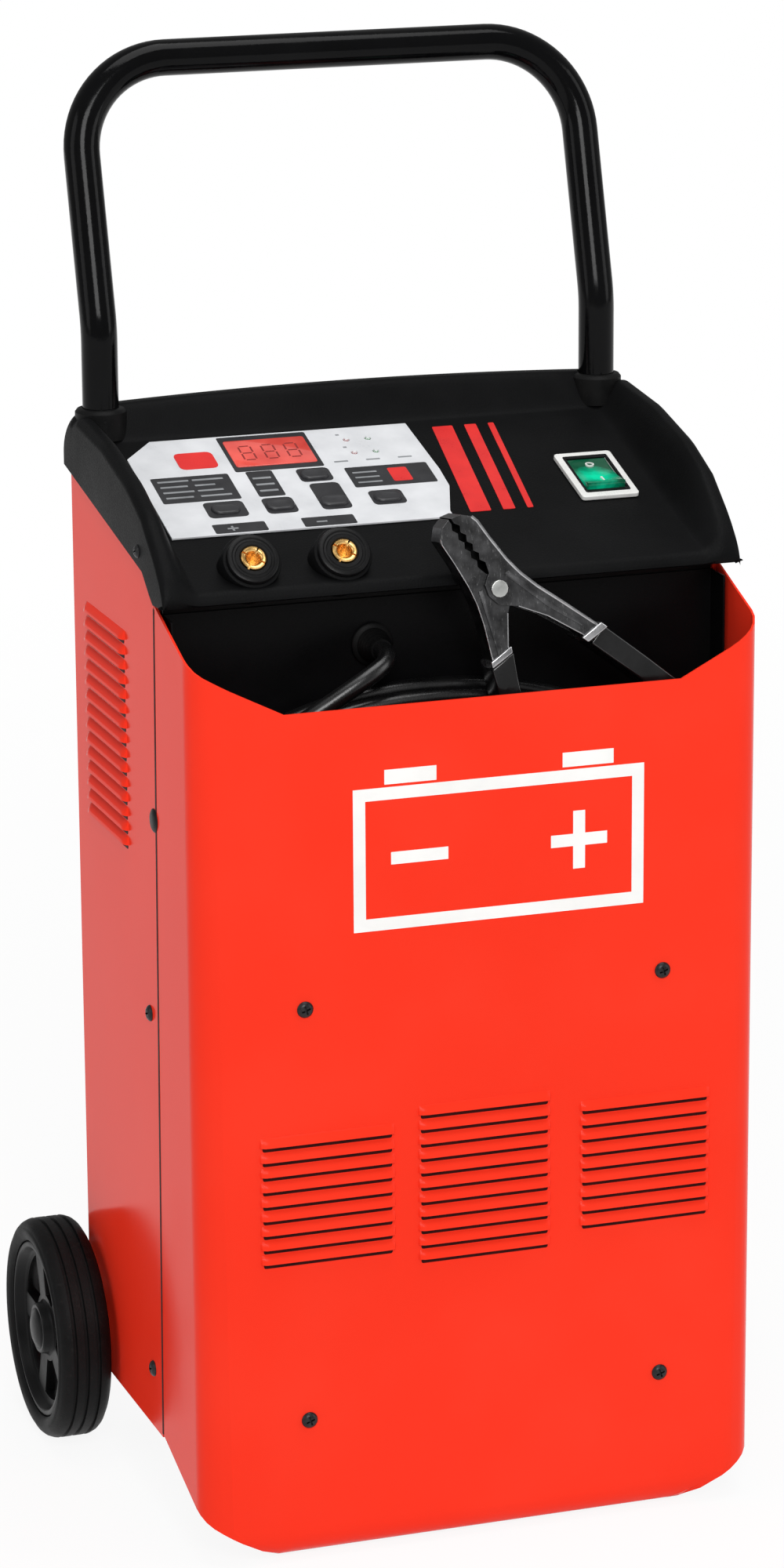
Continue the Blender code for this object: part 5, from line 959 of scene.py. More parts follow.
class CHARGER_OT_panel(bpy.types.Operator):
    """Finish the control panel's film and lay the printed fields, lamps and display on it"""
    bl_idname = "charger.panel"
    bl_label = "Control panel"

    def execute(self, context):
        refine("membrane_panel", silver_film(), bevel=0.0002)
        ink = grained("print_black", (0.010, 0.010, 0.012), (0.020, 0.020, 0.023), (0.30, 0.42), 1500.0,
                      0.00003, patch=90.0)
        grey = grained("print_grey", (0.20, 0.21, 0.22), (0.28, 0.29, 0.30), (0.30, 0.42), 1500.0, 0.00003,
                       patch=90.0)
        red = grained("print_red", (0.62, 0.012, 0.012), (0.74, 0.020, 0.016), (0.28, 0.38), 1500.0, 0.00003,
                      patch=60.0)
        on_film("print_fields", [(patch(*field[:4]), field[4]) for field in PRINT_FIELDS], ink)
        lines = []
        for row in range(4):
            depth = 0.1390 + 0.0056 * row
            lines.append((patch(-0.1315, depth, -0.1160 + 0.002 * (row % 2), depth + 0.0016), 0.0004))
            lines.append((patch(-0.1120, depth, -0.0945 - 0.003 * (row % 3), depth + 0.0016), 0.0004))
        for row in range(3):
            lines.append((patch(-0.0785, 0.1395 + 0.0066 * row, -0.0680, 0.1413 + 0.0066 * row), 0.0004))
        for row in range(3):
            lines.append((patch(-0.0220, 0.1405 + 0.0052 * row, -0.0080, 0.1419 + 0.0052 * row), 0.0004))
        for x in (-0.1080, -0.0580):
            lines.append((patch(x, 0.1044, x + 0.0060, 0.1056), 0.0))
        lines.append((patch(-0.1056, 0.1026, -0.1044, 0.1074), 0.0))
        on_film("print_lines", lines, grey, lift=0.0001)
        on_film("print_accent", [(patch(-0.0015, 0.1400, 0.0095, 0.1540), 0.0012),
                                 (patch(-0.1145, 0.1680, -0.0925, 0.1850), 0.0035)], red, lift=0.0001)
        marks = [(patch(-0.0280 + 0.0185 * k, 0.1640, -0.0200 + 0.0185 * k, 0.1653), 0.0004)
                 for k in range(3)]
        marks += [(patch(-0.0180, 0.1785 + 0.0135 * k, -0.0160, 0.1798 + 0.0135 * k), 0.0) for k in range(2)]
        on_film("print_marks", marks, grey)
        for number, (x, depth) in enumerate(LEDS):
            lamp = turned(LAMP_PROFILE, (x, up_slope(depth), 0.0), (0, 0, 1), 24)
            lamp.data.transform(slope_place())
            shade = (0.05, 0.30, 0.08) if number % 2 else (0.45, 0.04, 0.03)
            finish = grained("lamp_%d_lens" % (number + 1), tuple(c * 0.7 for c in shade), shade, (0.12, 0.2),
                             900.0, 0.00002, patch=300.0, coat=0.5)
            settle(lamp, "lamp_%d" % (number + 1), finish, "cabinet")
        self.display()
        return {"FINISHED"}

    def display(self):
        x, depth, width, height = DISPLAY
        v = up_slope(depth)
        lens = slab(rectangle(x, v, width, height), -0.0006, FILM_TOP + 0.0005, 0.0016)
        lens.data.transform(slope_place())
        round_edges(lens, 0.0003)
        made = Finish("display_glass")
        glow = made.spread(made.noise(60.0, 2.0), 0.0, 1.0)
        made.link(made.blend(glow, (0.50, 0.045, 0.035), (0.66, 0.085, 0.065)),
                  made.shader.inputs["Base Color"])
        made.link(made.blend(glow, (0.55, 0.05, 0.04), (0.75, 0.10, 0.08)),
                  made.shader.inputs["Emission Color"])
        made.set(Emission_Strength=0.25, Roughness=0.08, Coat_Weight=0.5, Coat_Roughness=0.05)
        made.relief(made.noise(500.0), 0.00001)
        settle(lens, "display_lens", made.material, "cabinet", ("display_window",))
        ghost = grained("display_ghost", (0.20, 0.015, 0.012), (0.26, 0.02, 0.016), (0.2, 0.3), 900.0,
                        0.00001)
        bars = []
        for digit in range(3):
            cx = x - 0.0130 + 0.0130 * digit
            for dy in (-0.0072, 0.0, 0.0072):
                bars.append((patch(cx - 0.0026, depth + dy - 0.0005, cx + 0.0026, depth + dy + 0.0005), 0.0))
            for dx in (-0.0034, 0.0034):
                for dy in (-0.0036, 0.0036):
                    bars.append((patch(cx + dx - 0.0005, depth + dy - 0.0028,
                                       cx + dx + 0.0005, depth + dy + 0.0028), 0.0))
        on_film("display_digits", bars, ghost, rise=0.00006, lift=0.0005)


class CHARGER_OT_keys(bpy.types.Operator):
    """Mould the five push keys with dished tops"""
    bl_idname = "charger.keys"
    bl_label = "Keys"

    def execute(self, context):
        finish = grained("key_rubber", (0.012, 0.012, 0.014), (0.024, 0.024, 0.027), (0.34, 0.44), 1500.0,
                         0.00004, patch=120.0)
        for number, (x, depth) in enumerate(KEYS, start=1):
            key = slab(rectangle(0.0, 0.0, KEY_SIZE[0], KEY_SIZE[1]), -0.0024, KEY_TOP - 0.0008, 0.0050, 8)
            edit(key, "DESELECT", "FACE")           # face mode with nothing selected
            leave_edit()
            for face in key.data.polygons:
                face.select = face.normal.z > 0.9
            activate(key)
            bpy.ops.object.mode_set(mode="EDIT")
            for inset, rise in KEY_DISH:
                bpy.ops.mesh.inset(thickness=inset)
                bpy.ops.transform.translate(value=(0, 0, rise))
            leave_edit()
            key.data.transform(slope_place() @ Matrix.Translation((x, up_slope(depth), 0.0)))
            settle(key, "key_cap_%d" % number, finish, "key_%d" % number, ("key_%d" % number,),
                   45.0)
        return {"FINISHED"}


class CHARGER_OT_switch(bpy.types.Operator):
    """Mould the mains switch: white bezel and lit green rocker"""
    bl_idname = "charger.switch"
    bl_label = "Mains switch"

    def execute(self, context):
        refine("switch_housing", white_plastic(), bevel=0.0006, segments=3)
        x, v = SWITCH[0], up_slope(SWITCH[1])
        half = ROCKER[1] / 2
        outline = [(-half, 0.0058), (-half * 0.75, 0.0048), (-half * 0.5, 0.0042), (-half * 0.25, 0.0038),
                   (0.0, 0.0036),
                   (half * 0.25, 0.0038), (half * 0.5, 0.0042), (half * 0.75, 0.0048), (half, 0.0058),
                   (half - 0.0006, -0.0010), (half * 0.45, -0.0090), (-half * 0.45, -0.0090),
                   (-half + 0.0006, -0.0010)]
        body = from_points("rocker", [(-ROCKER[0] / 2, a, b) for a, b in outline], (),
                           [tuple(range(len(outline)))])
        edit(body)
        bpy.ops.mesh.extrude_region_move(TRANSFORM_OT_translate={"value": (ROCKER[0], 0, 0)})
        leave_edit()
        tidy_faces(body)
        round_edges(body, 0.0007, 3, 40.0)
        place = slope_place() @ Matrix.Translation((x, v, -0.0010)) @ Matrix.Rotation(-ROCKER_TILT, 4, "X")
        body.data.transform(place)
        # The rocker glows green from its lamp; the brighter spot round one point near its front left is a
        # painted highlight in both colour and glow.
        made = Finish("lit_green_rocker")
        lamp = slope_place() @ Vector((x - 0.0015, v - 0.0050, 0.0030))
        away = made.tree.nodes.new("ShaderNodeVectorMath")
        away.operation = "DISTANCE"
        away.inputs[1].default_value = lamp
        made.link(made.place, away.inputs[0])
        swirl = made.spread(made.noise(260.0, 3.0, 0.6), -0.0015, 0.0015)
        near = made.spread(made.add(away.outputs["Value"], swirl), 1.0, 0.0, 0.0030, 0.0150)
        made.link(made.blend(near, (0.001, 0.050, 0.022), (0.003, 0.26, 0.14)),
                  made.shader.inputs["Base Color"])
        made.link(made.blend(near, (0.0, 0.030, 0.014), (0.0, 0.56, 0.30)),
                  made.shader.inputs["Emission Color"])
        made.set(Emission_Strength=0.9, Roughness=0.16, Specular_IOR_Level=0.35)
        made.relief(made.noise(900.0), 0.00002)
        settle(body, "rocker_body", made.material, "switch", ("switch_rocker",), 40.0)
        marks = [slab(rectangle(0.0, -half * 0.62, 0.0010, 0.0050), 0.0030, 0.0050, 0.0),
                 turned(((0.0017, 0.0), (0.0025, 0.0), (0.0025, 0.0020), (0.0017, 0.0020)),
                        (0.0, half * 0.62, 0.0032), (0, 0, 1), 32, True)]
        mark = unite(marks, "marks")
        mark.data.transform(place)
        settle(mark, "rocker_marks", white_plastic(), "switch")
        # Black ring round the rocker inside the white bezel: painted shade of the gap between bezel and
        # rocker.
        gap_shade = slab(rectangle(x, v, 0.0262, 0.0404), 0.0020, 0.0033, 0.0012)
        combine(gap_shade, slab(rectangle(x, v, 0.0232, 0.0350), -0.002, 0.006, 0.0))
        round_edges(gap_shade, 0.0002)
        gap_shade.data.transform(slope_place())
        settle(gap_shade, "switch_gap_painted_shade", black_plastic(), "cabinet")
        return {"FINISHED"}


class CHARGER_OT_symbols(bpy.types.Operator):
    """Lay the generic battery symbol on the front and the accent bars on the console"""
    bl_idname = "charger.symbols"
    bl_label = "Symbols"

    def execute(self, context):
        white = grained("print_white", (0.80, 0.80, 0.78), (0.88, 0.88, 0.86), (0.30, 0.40), 1300.0, 0.00003,
                        patch=30.0)
        (cx, cz, width, height), line = SYMBOL, SYMBOL_LINE
        bars = [rectangle(cx, cz + (height - line) / 2, width, line),
                rectangle(cx, cz - (height - line) / 2, width, line),
                rectangle(cx - (width - line) / 2, cz, line, height - 2 * line),
                rectangle(cx + (width - line) / 2, cz, line, height - 2 * line),
                rectangle(cx - 0.0500, cz + height / 2 + 0.0055, 0.0290, 0.0080),
                rectangle(cx + 0.0500, cz + height / 2 + 0.0055, 0.0290, 0.0080),
                rectangle(cx - 0.0450, cz, 0.0320, line), rectangle(cx + 0.0450, cz, 0.0320, line),
                rectangle(cx + 0.0450, cz + 0.0097, line, 0.0126),
                rectangle(cx + 0.0450, cz - 0.0097, line, 0.0126)]
        made = [slab(points, -0.0002, sizes().print_rise, 0.0) for points in bars]
        obj = unite(made, "symbol")
        obj.data.transform(Matrix.Translation((0.0, at(0.0), 0.0)) @ UPRIGHT)
        settle(obj, "battery_symbol", white, "cabinet")
        red = bpy.data.materials["print_red"]
        bars = []
        for outline in ACCENT_BARS:
            points = [(x, up_slope(depth)) for x, depth in outline]
            bars.append(slab(points, -0.0002, 0.00025, 0.0008))
        accent = unite(bars, "accent")
        accent.data.transform(slope_place())
        settle(accent, "accent_bars", red, "cabinet")
        return {"FINISHED"}


# ---- Handle and wheels ----------------------------------------------------------------------

class CHARGER_OT_handle(bpy.types.Operator):
    """Bend the handle tube and fit its grommets"""
    bl_idname = "charger.handle"
    bl_label = "Handle"

    def execute(self, context):
        y = at(HANDLE_DEPTH)
        lean = Vector((0.0, math.sin(HANDLE_LEAN), math.cos(HANDLE_LEAN)))
        tangent = HANDLE_BEND_R * math.tan(HANDLE_LEAN / 2)
        deselect()
        bpy.ops.mesh.primitive_circle_add(vertices=48, radius=HANDLE_R, location=(HANDLE_X, y, HANDLE_FOOT_Z))
        tube_half = bpy.context.object
        bpy.ops.object.transform_apply(location=True, rotation=True, scale=True)
        edit(tube_half)

        def extend(way):
            bpy.ops.mesh.extrude_region_move(TRANSFORM_OT_translate={"value": tuple(way)})
        extend((0, 0, HANDLE_BEND_Z - tangent - HANDLE_FOOT_Z))
        bpy.ops.mesh.spin(steps=8, angle=HANDLE_LEAN, axis=(1, 0, 0),
                          center=(HANDLE_X, y + HANDLE_BEND_R, HANDLE_BEND_Z - tangent))
        extend(lean * (HANDLE_RISE - HANDLE_CORNER_R - tangent))
        corner = Vector((HANDLE_X - HANDLE_CORNER_R, y, HANDLE_BEND_Z))
        corner = corner + lean * (HANDLE_RISE - HANDLE_CORNER_R)
        bpy.ops.mesh.spin(steps=20, angle=math.radians(-90.0), center=corner,
                          axis=(0.0, -math.cos(HANDLE_LEAN), math.sin(HANDLE_LEAN)))
        extend((-(HANDLE_X - HANDLE_CORNER_R), 0, 0))
        leave_edit()
        apply_modifier(tube_half, "MIRROR", use_axis=(True, False, False), use_clip=True,
                       merge_threshold=0.0001)
        edit(tube_half, "DESELECT", "EDGE")
        bpy.ops.mesh.select_non_manifold()
        bpy.ops.mesh.edge_face_add()
        leave_edit()
        tidy_faces(tube_half, 1e-5)
        settle(tube_half, "handle_bow", gloss_black(), "cabinet", ("handle_tube",), 50.0)
        for label, side in (("left", -1), ("right", 1)):
            x = side * HANDLE_X
            seat = console_height(x, HANDLE_DEPTH - 0.011)
            top = console_height(x, HANDLE_DEPTH) + 0.0022
            ring = turned(((HANDLE_R + 0.0002, 0.0), (HANDLE_R + 0.0042, 0.0),
                           (HANDLE_R + 0.0042, top - seat - 0.001),
                           (HANDLE_R + 0.0030, top - seat + 0.0006), (HANDLE_R + 0.0012, top - seat + 0.0012),
                           (HANDLE_R + 0.0002, top - seat + 0.0012)), (x, y, seat - 0.002), (0, 0, 1), 48,
                          True)
            settle(ring, "handle_grommet_" + label, rubber(), "cabinet")
        return {"FINISHED"}


def tyre_profile():
    half = WHEEL_WIDTH / 2
    seat = WHEEL_R - TYRE_DEPTH
    side = [(seat, half - 0.0026), (seat + 0.0012, half - 0.0012), (seat + 0.0030, half - 0.0006),
            (seat + 0.0050, half), (WHEEL_R - 0.0058, half - 0.0002), (WHEEL_R - 0.0052, half - 0.0008),
            (WHEEL_R - 0.0046, half - 0.0010), (WHEEL_R - 0.0030, half - 0.0018),
            (WHEEL_R - 0.0014, half - 0.0036), (WHEEL_R - 0.0003, half - 0.0062)]
    tread = []
    for centre in (0.0068, 0.0, -0.0068):
        tread += [(WHEEL_R, centre + 0.0012), (WHEEL_R - 0.0014, centre + 0.0007),
                  (WHEEL_R - 0.0014, centre - 0.0007), (WHEEL_R, centre - 0.0012)]
    other = [(r, -a) for r, a in reversed(side)]
    return side + tread + other


class CHARGER_OT_wheels(bpy.types.Operator):
    """Turn the tyres, cut the rims' windows and cap the axle"""
    bl_idname = "charger.wheels"
    bl_label = "Wheels"

    def execute(self, context):
        for label, side in (("left", -1), ("right", 1)):
            body = "wheel_" + label
            centre = (side * (WHEEL_OUTER_X - WHEEL_WIDTH / 2), at(WHEEL_DEPTH), WHEEL_R)
            tyre = turned(tyre_profile(), centre, (side, 0, 0), 96, True)
            settle(tyre, "tyre_tread_" + label, tyre_rubber(), body, ("tyre_" + label,), 40.0)
            self.rim(label, side, centre, body)
            cap = turned(HUB_CAP_PROFILE, (side * 0.1921, at(WHEEL_DEPTH), WHEEL_R), (side, 0, 0), 48)
            settle(cap, "hub_cap_" + label, black_plastic(), "cabinet", ("axle_cap_" + label,))
        refine("axle", zinc(), bevel=0.0003, smooth=40.0)
        return {"FINISHED"}

    def rim(self, label, side, centre, body):
        half = WHEEL_WIDTH / 2
        outer = WHEEL_R - TYRE_DEPTH - 0.0003
        web_out, web_in = half - 0.0085, half - 0.0145
        hub_in = -(WHEEL_OUTER_X - half - HALF_WIDTH - 0.0006)
        profile = ((AXLE_R + GAP, hub_in), (HUB_R - 0.0010, hub_in), (HUB_R, hub_in + 0.0010),
                   (HUB_R, web_in - 0.0015),
                   (HUB_R + 0.0015, web_in), (outer - 0.0060, web_in), (outer - 0.0045, web_in - 0.0015),
                   (outer - 0.0045, 0.004 - half), (outer, 0.004 - half), (outer, half - 0.0035),
                   (outer - 0.0012, half - 0.0025), (outer - 0.0030, half - 0.0025),
                   (outer - 0.0040, half - 0.0035),
                   (outer - 0.0050, web_out + 0.0012), (outer - 0.0065, web_out), (HUB_R + 0.0015, web_out),
                   (HUB_R, web_out + 0.0015), (HUB_R - 0.0004, half - 0.0040),
                   (HUB_R - 0.0014, half - 0.0030), (AXLE_R + GAP, half - 0.0030))
        rim = turned(profile, centre, (side, 0, 0), 96, True)
        for k in range(5):
            turn = 72.0 * k + 36.0
            inner_r, outer_r = HUB_R + 0.0045, outer - 0.0085
            outline = []
            for radius, start, end, steps in ((inner_r, turn - 17, turn + 17, 5),
                                              (outer_r, turn + 26, turn - 26, 10)):
                for step in range(steps + 1):
                    angle = math.radians(start + (end - start) * step / steps)
                    outline.append((radius * math.cos(angle), radius * math.sin(angle)))
            cutter = slab(outline, -0.02, 0.02, 0.0)
            lay = Matrix(((0, 0, 1), (1, 0, 0), (0, 1, 0))).to_4x4()
            cutter.data.transform(Matrix.Translation(centre) @ lay)
            combine(rim, cutter)
        round_edges(rim, 0.0006, 2, 40.0)
        settle(rim, "wheel_disc_" + label, black_plastic(), body, ("wheel_rim_" + label,), 40.0)


# ---- Fasteners ------------------------------------------------------------------------------

def cross_screw(head_r, head, shank_r=0.0019, length=0.006):
    """Domed screw with a cross recess; its head points up Z and sits on Z = 0."""
    obj = turned(((0.0, head), (head_r * 0.35, head * 0.97), (head_r * 0.65, head * 0.82),
                  (head_r * 0.88, head * 0.50),
                  (head_r, head * 0.14), (head_r, 0.0), (shank_r, 0.0), (shank_r, -length), (0.0, -length)),
                 (0, 0, 0), (0, 0, 1), 32)
    for turn in (0.0, math.pi / 2):
        arm = block((-head_r * 0.55, -head_r * 0.11, head * 0.30), (head_r * 0.55, head_r * 0.11, head * 2))
        arm.data.transform(Matrix.Rotation(turn + 0.35, 4, "Z"))
        combine(obj, arm)
    return obj


def seat(source, name, point, out, finish, slot, nodes=()):
    """Copy of a fastener with its head at a point, facing out."""
    obj = new_object(name, source.data.copy())
    obj.data.transform(Matrix.Translation(point) @ facing(out))
    return settle(obj, name, finish, "cabinet", nodes, 30.0)


class CHARGER_OT_fasteners(bpy.types.Operator):
    """Add the cross-head screws, seam plugs and handle bolts"""
    bl_idname = "charger.fasteners"
    bl_label = "Fasteners"

    def execute(self, context):
        screw = cross_screw(0.0045, 0.0024)
        small = cross_screw(0.0036, 0.0019)
        for number, (x, z) in enumerate(FRONT_SCREWS, start=1):
            seat(screw, "front_cross_screw_%d" % number, (x, at(-0.00005), z), (0, -1, 0), dark_screw(),
                 BLACK_SLOT, ("front_screw_%d" % number,))
        for label, side in (("left", -1), ("right", 1)):
            for level, depth, z in SIDE_SCREWS:
                seat(screw, "side_cross_screw_%s_%s" % (level, label), (side * SCREW_FACE_X, at(depth), z),
                     (side, 0, 0), dark_screw(), BLACK_SLOT, ("side_screw_%s_%s" % (level, label),))
            seat(small, "console_screw_" + label, (side * 0.16283, at(0.089), 0.5475), (side, 0, 0),
                 dark_screw(), BLACK_SLOT)
            plug = turned(PLUG_PROFILE, (side * SCREW_FACE_X, at(0.0765), 0.4030),
                          (side, 0, 0), 40)
            settle(plug, "seam_plug_" + label, black_plastic(), "cabinet")
            refine("handle_bolt_" + label, zinc(), bevel=0.0003, smooth=40.0)
            for level, z in REAR_SCREWS:
                seat(small, "rear_screw_%s_%s" % (level, label), (side * 0.1490, at(0.22855), z), (0, 1, 0),
                     dark_screw(), BLACK_SLOT)
        drop(screw, small)
        return {"FINISHED"}


# ---- Charging lead and clamp ----------------------------------------------------------------

def coil_point(angle):
    """A point of the stored loops; they lie on the pocket's floor and step back with the angle."""
    share = (angle - COIL_START) / (COIL_END - COIL_START)
    half_height = 0.0490 + 0.0035 * share
    depth = 0.0310 + 0.0305 * share
    centre_z = POCKET_FLOOR_Z + 0.0004 + LEAD_R + half_height
    return Vector((-0.0120 + 0.1180 * math.cos(angle), at(depth), centre_z + half_height * math.sin(angle)))


def coil_path(count):
    return [coil_point(COIL_START + (COIL_END - COIL_START) * k / count) for k in range(count + 1)]


def clamp_place():
    """Local X along the clamp to its handles, local Y towards the fixed arm, Z to the front."""
    up = Vector((0.0, CLAMP_LEAN, 1.0)).normalized()
    right = Vector((1.0, 0.0, 0.0))
    along_axis = right * math.cos(CLAMP_AXIS) + up * math.sin(CLAMP_AXIS)
    across = right * -math.sin(CLAMP_AXIS) + up * math.cos(CLAMP_AXIS)
    front = along_axis.cross(across)
    matrix = Matrix((along_axis, across, front)).transposed().to_4x4()
    matrix.translation = Vector((CLAMP_PIVOT[0], at(CLAMP_PIVOT[1]), CLAMP_PIVOT[2]))
    return matrix


def sleeve_exit():
    """Where the lead leaves the fixed arm's sleeve, and which way it points there."""
    matrix = clamp_place()
    grow = 0.0016
    top = Vector((0.1150 + grow, 0.0542 + grow, 0.0))
    low = Vector((0.1180 + grow, 0.0430 - grow, 0.0))
    edge = (low - top).normalized()
    way = Vector((-edge.y, edge.x, 0.0))
    return matrix @ ((top + low) / 2), (matrix.to_3x3() @ way).normalized()


def lead_path():
    loops = coil_path(55)
    gland = Vector((GLAND_X, at(POCKET_DEPTH) - 2 * GAP - GLAND_LENGTH, GLAND_Z))
    way = (loops[1] - loops[0]).normalized()
    start = [gland, gland + Vector((0, -0.006, 0)), (-0.0430, at(0.0360), 0.4890),
             (-0.0560, at(0.0290), 0.4830),
             (-0.0760, at(0.0272), 0.4720), (-0.0980, at(0.0280), 0.4590), loops[0] - way * 0.018,
             loops[0] - way * (0.006 + GAP), loops[0] - way * GAP]
    way = (loops[-1] - loops[-2]).normalized()
    exit_point, exit_way = sleeve_exit()
    end = [loops[-1] + way * GAP, loops[-1] + way * (0.006 + GAP), (0.0300, at(0.0600), 0.3656),
           (0.0700, at(0.0580), 0.3668), (0.1000, at(0.0540), 0.3725), (0.1240, at(0.0480), 0.3850),
           (0.1400, at(0.0405), 0.4030), (0.1460, at(0.0325), 0.4210), exit_point + exit_way * 0.020,
           exit_point + exit_way * 0.007, exit_point + exit_way * GAP]
    return smooth_path(start, 0.005) + coil_path(165) + smooth_path(end, 0.007)


class CHARGER_OT_lead(bpy.types.Operator):
    """Lay the charging lead in its loops, with its gland in the pocket's back wall"""
    bl_idname = "charger.lead"
    bl_label = "Charging lead"

    def execute(self, context):
        path = lead_path()
        lead = tube("charging_lead", path, LEAD_R, 6)
        settle(lead, "charging_lead", lead_sheath(), "cabinet",
               ("lead_start", "lead_coil", "lead_end"))
        face = at(POCKET_DEPTH) - GAP
        gland = turned(GLAND_PROFILE, (GLAND_X, face, GLAND_Z), (0, -1, 0), 48)
        settle(gland, "lead_relief", rubber(), "cabinet", ("lead_gland",))
        refine("mains_gland", black_plastic(), bevel=0.0004, smooth=40.0)
        return {"FINISHED"}


OUTER_EDGE = ((-0.0445, 0.0060), (-0.0390, 0.0115), (-0.0250, 0.0118), (-0.0100, 0.0128), (0.0, 0.0145),
              (0.0120, 0.0182), (0.0250, 0.0235), (0.0480, 0.0325), (0.0800, 0.0432), (0.1080, 0.0520))


INNER_EDGE = ((-0.0100, 0.0004), (-0.0060, -0.0052), (0.0, -0.0068), (0.0070, -0.0050), (0.0140, 0.0030),
              (0.0280, 0.0130), (0.0480, 0.0228), (0.0800, 0.0338), (0.1110, 0.0440))


class CHARGER_OT_clamp(bpy.types.Operator):
    """Round the clamp's pressed arms and sleeves, and wind its spring"""
    bl_idname = "charger.clamp"
    bl_label = "Battery clamp"

    def execute(self, context):
        for label in ("fixed", "moving"):
            refine("clamp_arm_" + label, clamp_steel(), bevel=0.0005, segments=3, smooth=40.0)
            refine("clamp_sleeve_" + label, clamp_grip(), bevel=0.0012, segments=3, smooth=40.0)
        refine("clamp_pin", zinc(), bevel=0.0003, smooth=40.0)
        height, turns = SPRING_HEIGHT, SPRING_TURNS
        start, end = math.radians(62.0), math.radians(298.0 - 360.0 + 360.0 * turns)

        def wound(angle):
            share = (angle - start) / (end - start)
            return Vector((SPRING_R * math.cos(angle), SPRING_R * math.sin(angle), height * (share - 0.5)))
        coils = [wound(start + (end - start) * k / (28 * turns)) for k in range(28 * turns + 1)]
        coils += [wound(end + math.radians(6.0 * k)) - Vector((0, 0, height * 0.0167 / turns * k))
                  for k in range(1, 5)]
        leg = Vector((*SPRING_LEG, coils[0].z))
        path = [leg + (coils[0] - leg) * k / 6 for k in range(6)] + coils
        matrix = clamp_place()
        spring = tube("clamp_spring_wire", [matrix @ p for p in path], SPRING_WIRE_R, 3)
        settle(spring, "clamp_spring_wire", zinc(), "cabinet", ("clamp_spring",))
        first, tip = wound(end), Vector((SPRING_LEG[0], -SPRING_LEG[1], wound(end).z))
        other = tube("clamp_spring_leg", [matrix @ (first + (tip - first) * k / 8) for k in range(9)],
                     SPRING_WIRE_R, 3)
        settle(other, "clamp_spring_leg", zinc(), "clamp_jaw")
        for label, side, body in (("fixed", 1, "cabinet"), ("moving", -1, "clamp_jaw")):
            self.rib(label, side, body, matrix)
        self.edges(matrix)
        self.band("clamp_ferrule_fixed", 1, 0.0490, 0.0535, 0.0021, FIXED_HALF, "cabinet", bright_steel(),
                  CLAMP_SLOT, matrix)
        self.band("clamp_ferrule_moving", -1, 0.0290, 0.0325, 0.0014, MOVING_HALF, "clamp_jaw",
                  bright_steel(), CLAMP_SLOT, matrix)
        self.band("clamp_grip_moving", -1, 0.0325, 0.0560, 0.0018, MOVING_HALF, "clamp_jaw", clamp_grip(),
                  BLACK_SLOT, matrix)
        return {"FINISHED"}

    def edges(self, matrix):
        """Bright steel beads along the pressed arms' edges: painted highlight where the edges catch the
        light.
        """
        for label, side, body, half, end in (("fixed", 1, "cabinet", FIXED_HALF, 0.0490),
                                             ("moving", -1, "clamp_jaw", MOVING_HALF, 0.0290)):
            made = []
            for outline, start, inset in ((OUTER_EDGE, -0.0400, 0.0003), (INNER_EDGE, 0.0140, -0.0003)):
                steps = [start + (end - start) * k / 24 for k in range(25)]
                path = [matrix @ Vector((x, side * (along(outline, x) - inset), half - 0.0002))
                        for x in steps]
                radius = 0.0009 if side > 0 and outline is OUTER_EDGE else 0.0004
                bead = tube("edge", path, radius, 2)
                activate(bead)
                bpy.ops.object.convert(target="MESH")
                made.append(bpy.context.object)
            settle(unite(made, "edges"), "clamp_edge_highlight_" + label, bright_steel(), body)

    def band(self, name, side, start, end, grow, half, body, finish, slot, matrix):
        """Closed band round an arm between two places along it."""
        steps = [start + (end - start) * k / 4 for k in range(5)]
        points = [(x, side * (along(OUTER_EDGE, x) + grow)) for x in steps]
        points += [(x, side * (along(INNER_EDGE, x) - grow)) for x in reversed(steps)]
        band = slab(points, -half - grow, half + grow, 0.0)
        round_edges(band, 0.0008, 3, 40.0)
        band.data.transform(matrix)
        settle(band, name, finish, body)

    def rib(self, label, side, body, matrix):
        """Pressed stiffening ribs on both cheeks of an arm."""
        half = FIXED_HALF if side > 0 else MOVING_HALF
        made = []
        for face in (-1, 1):
            points = [(-0.0050, side * 0.0098), (0.0230, side * 0.0188), (0.0440, side * 0.0270),
                      (0.0445, side * 0.0255), (0.0240, side * 0.0160), (-0.0045, side * 0.0068)]
            low, high = sorted((face * (half - 0.0004), face * (half + 0.0006)))
            made.append(slab(points, low, high, 0.0008))
        rib = unite(made, "rib")
        round_edges(rib, 0.0004, 2, 40.0)
        rib.data.transform(matrix)
        settle(rib, "clamp_rib_" + label, clamp_steel(), body)


# ---- Stage ----------------------------------------------------------------------------------

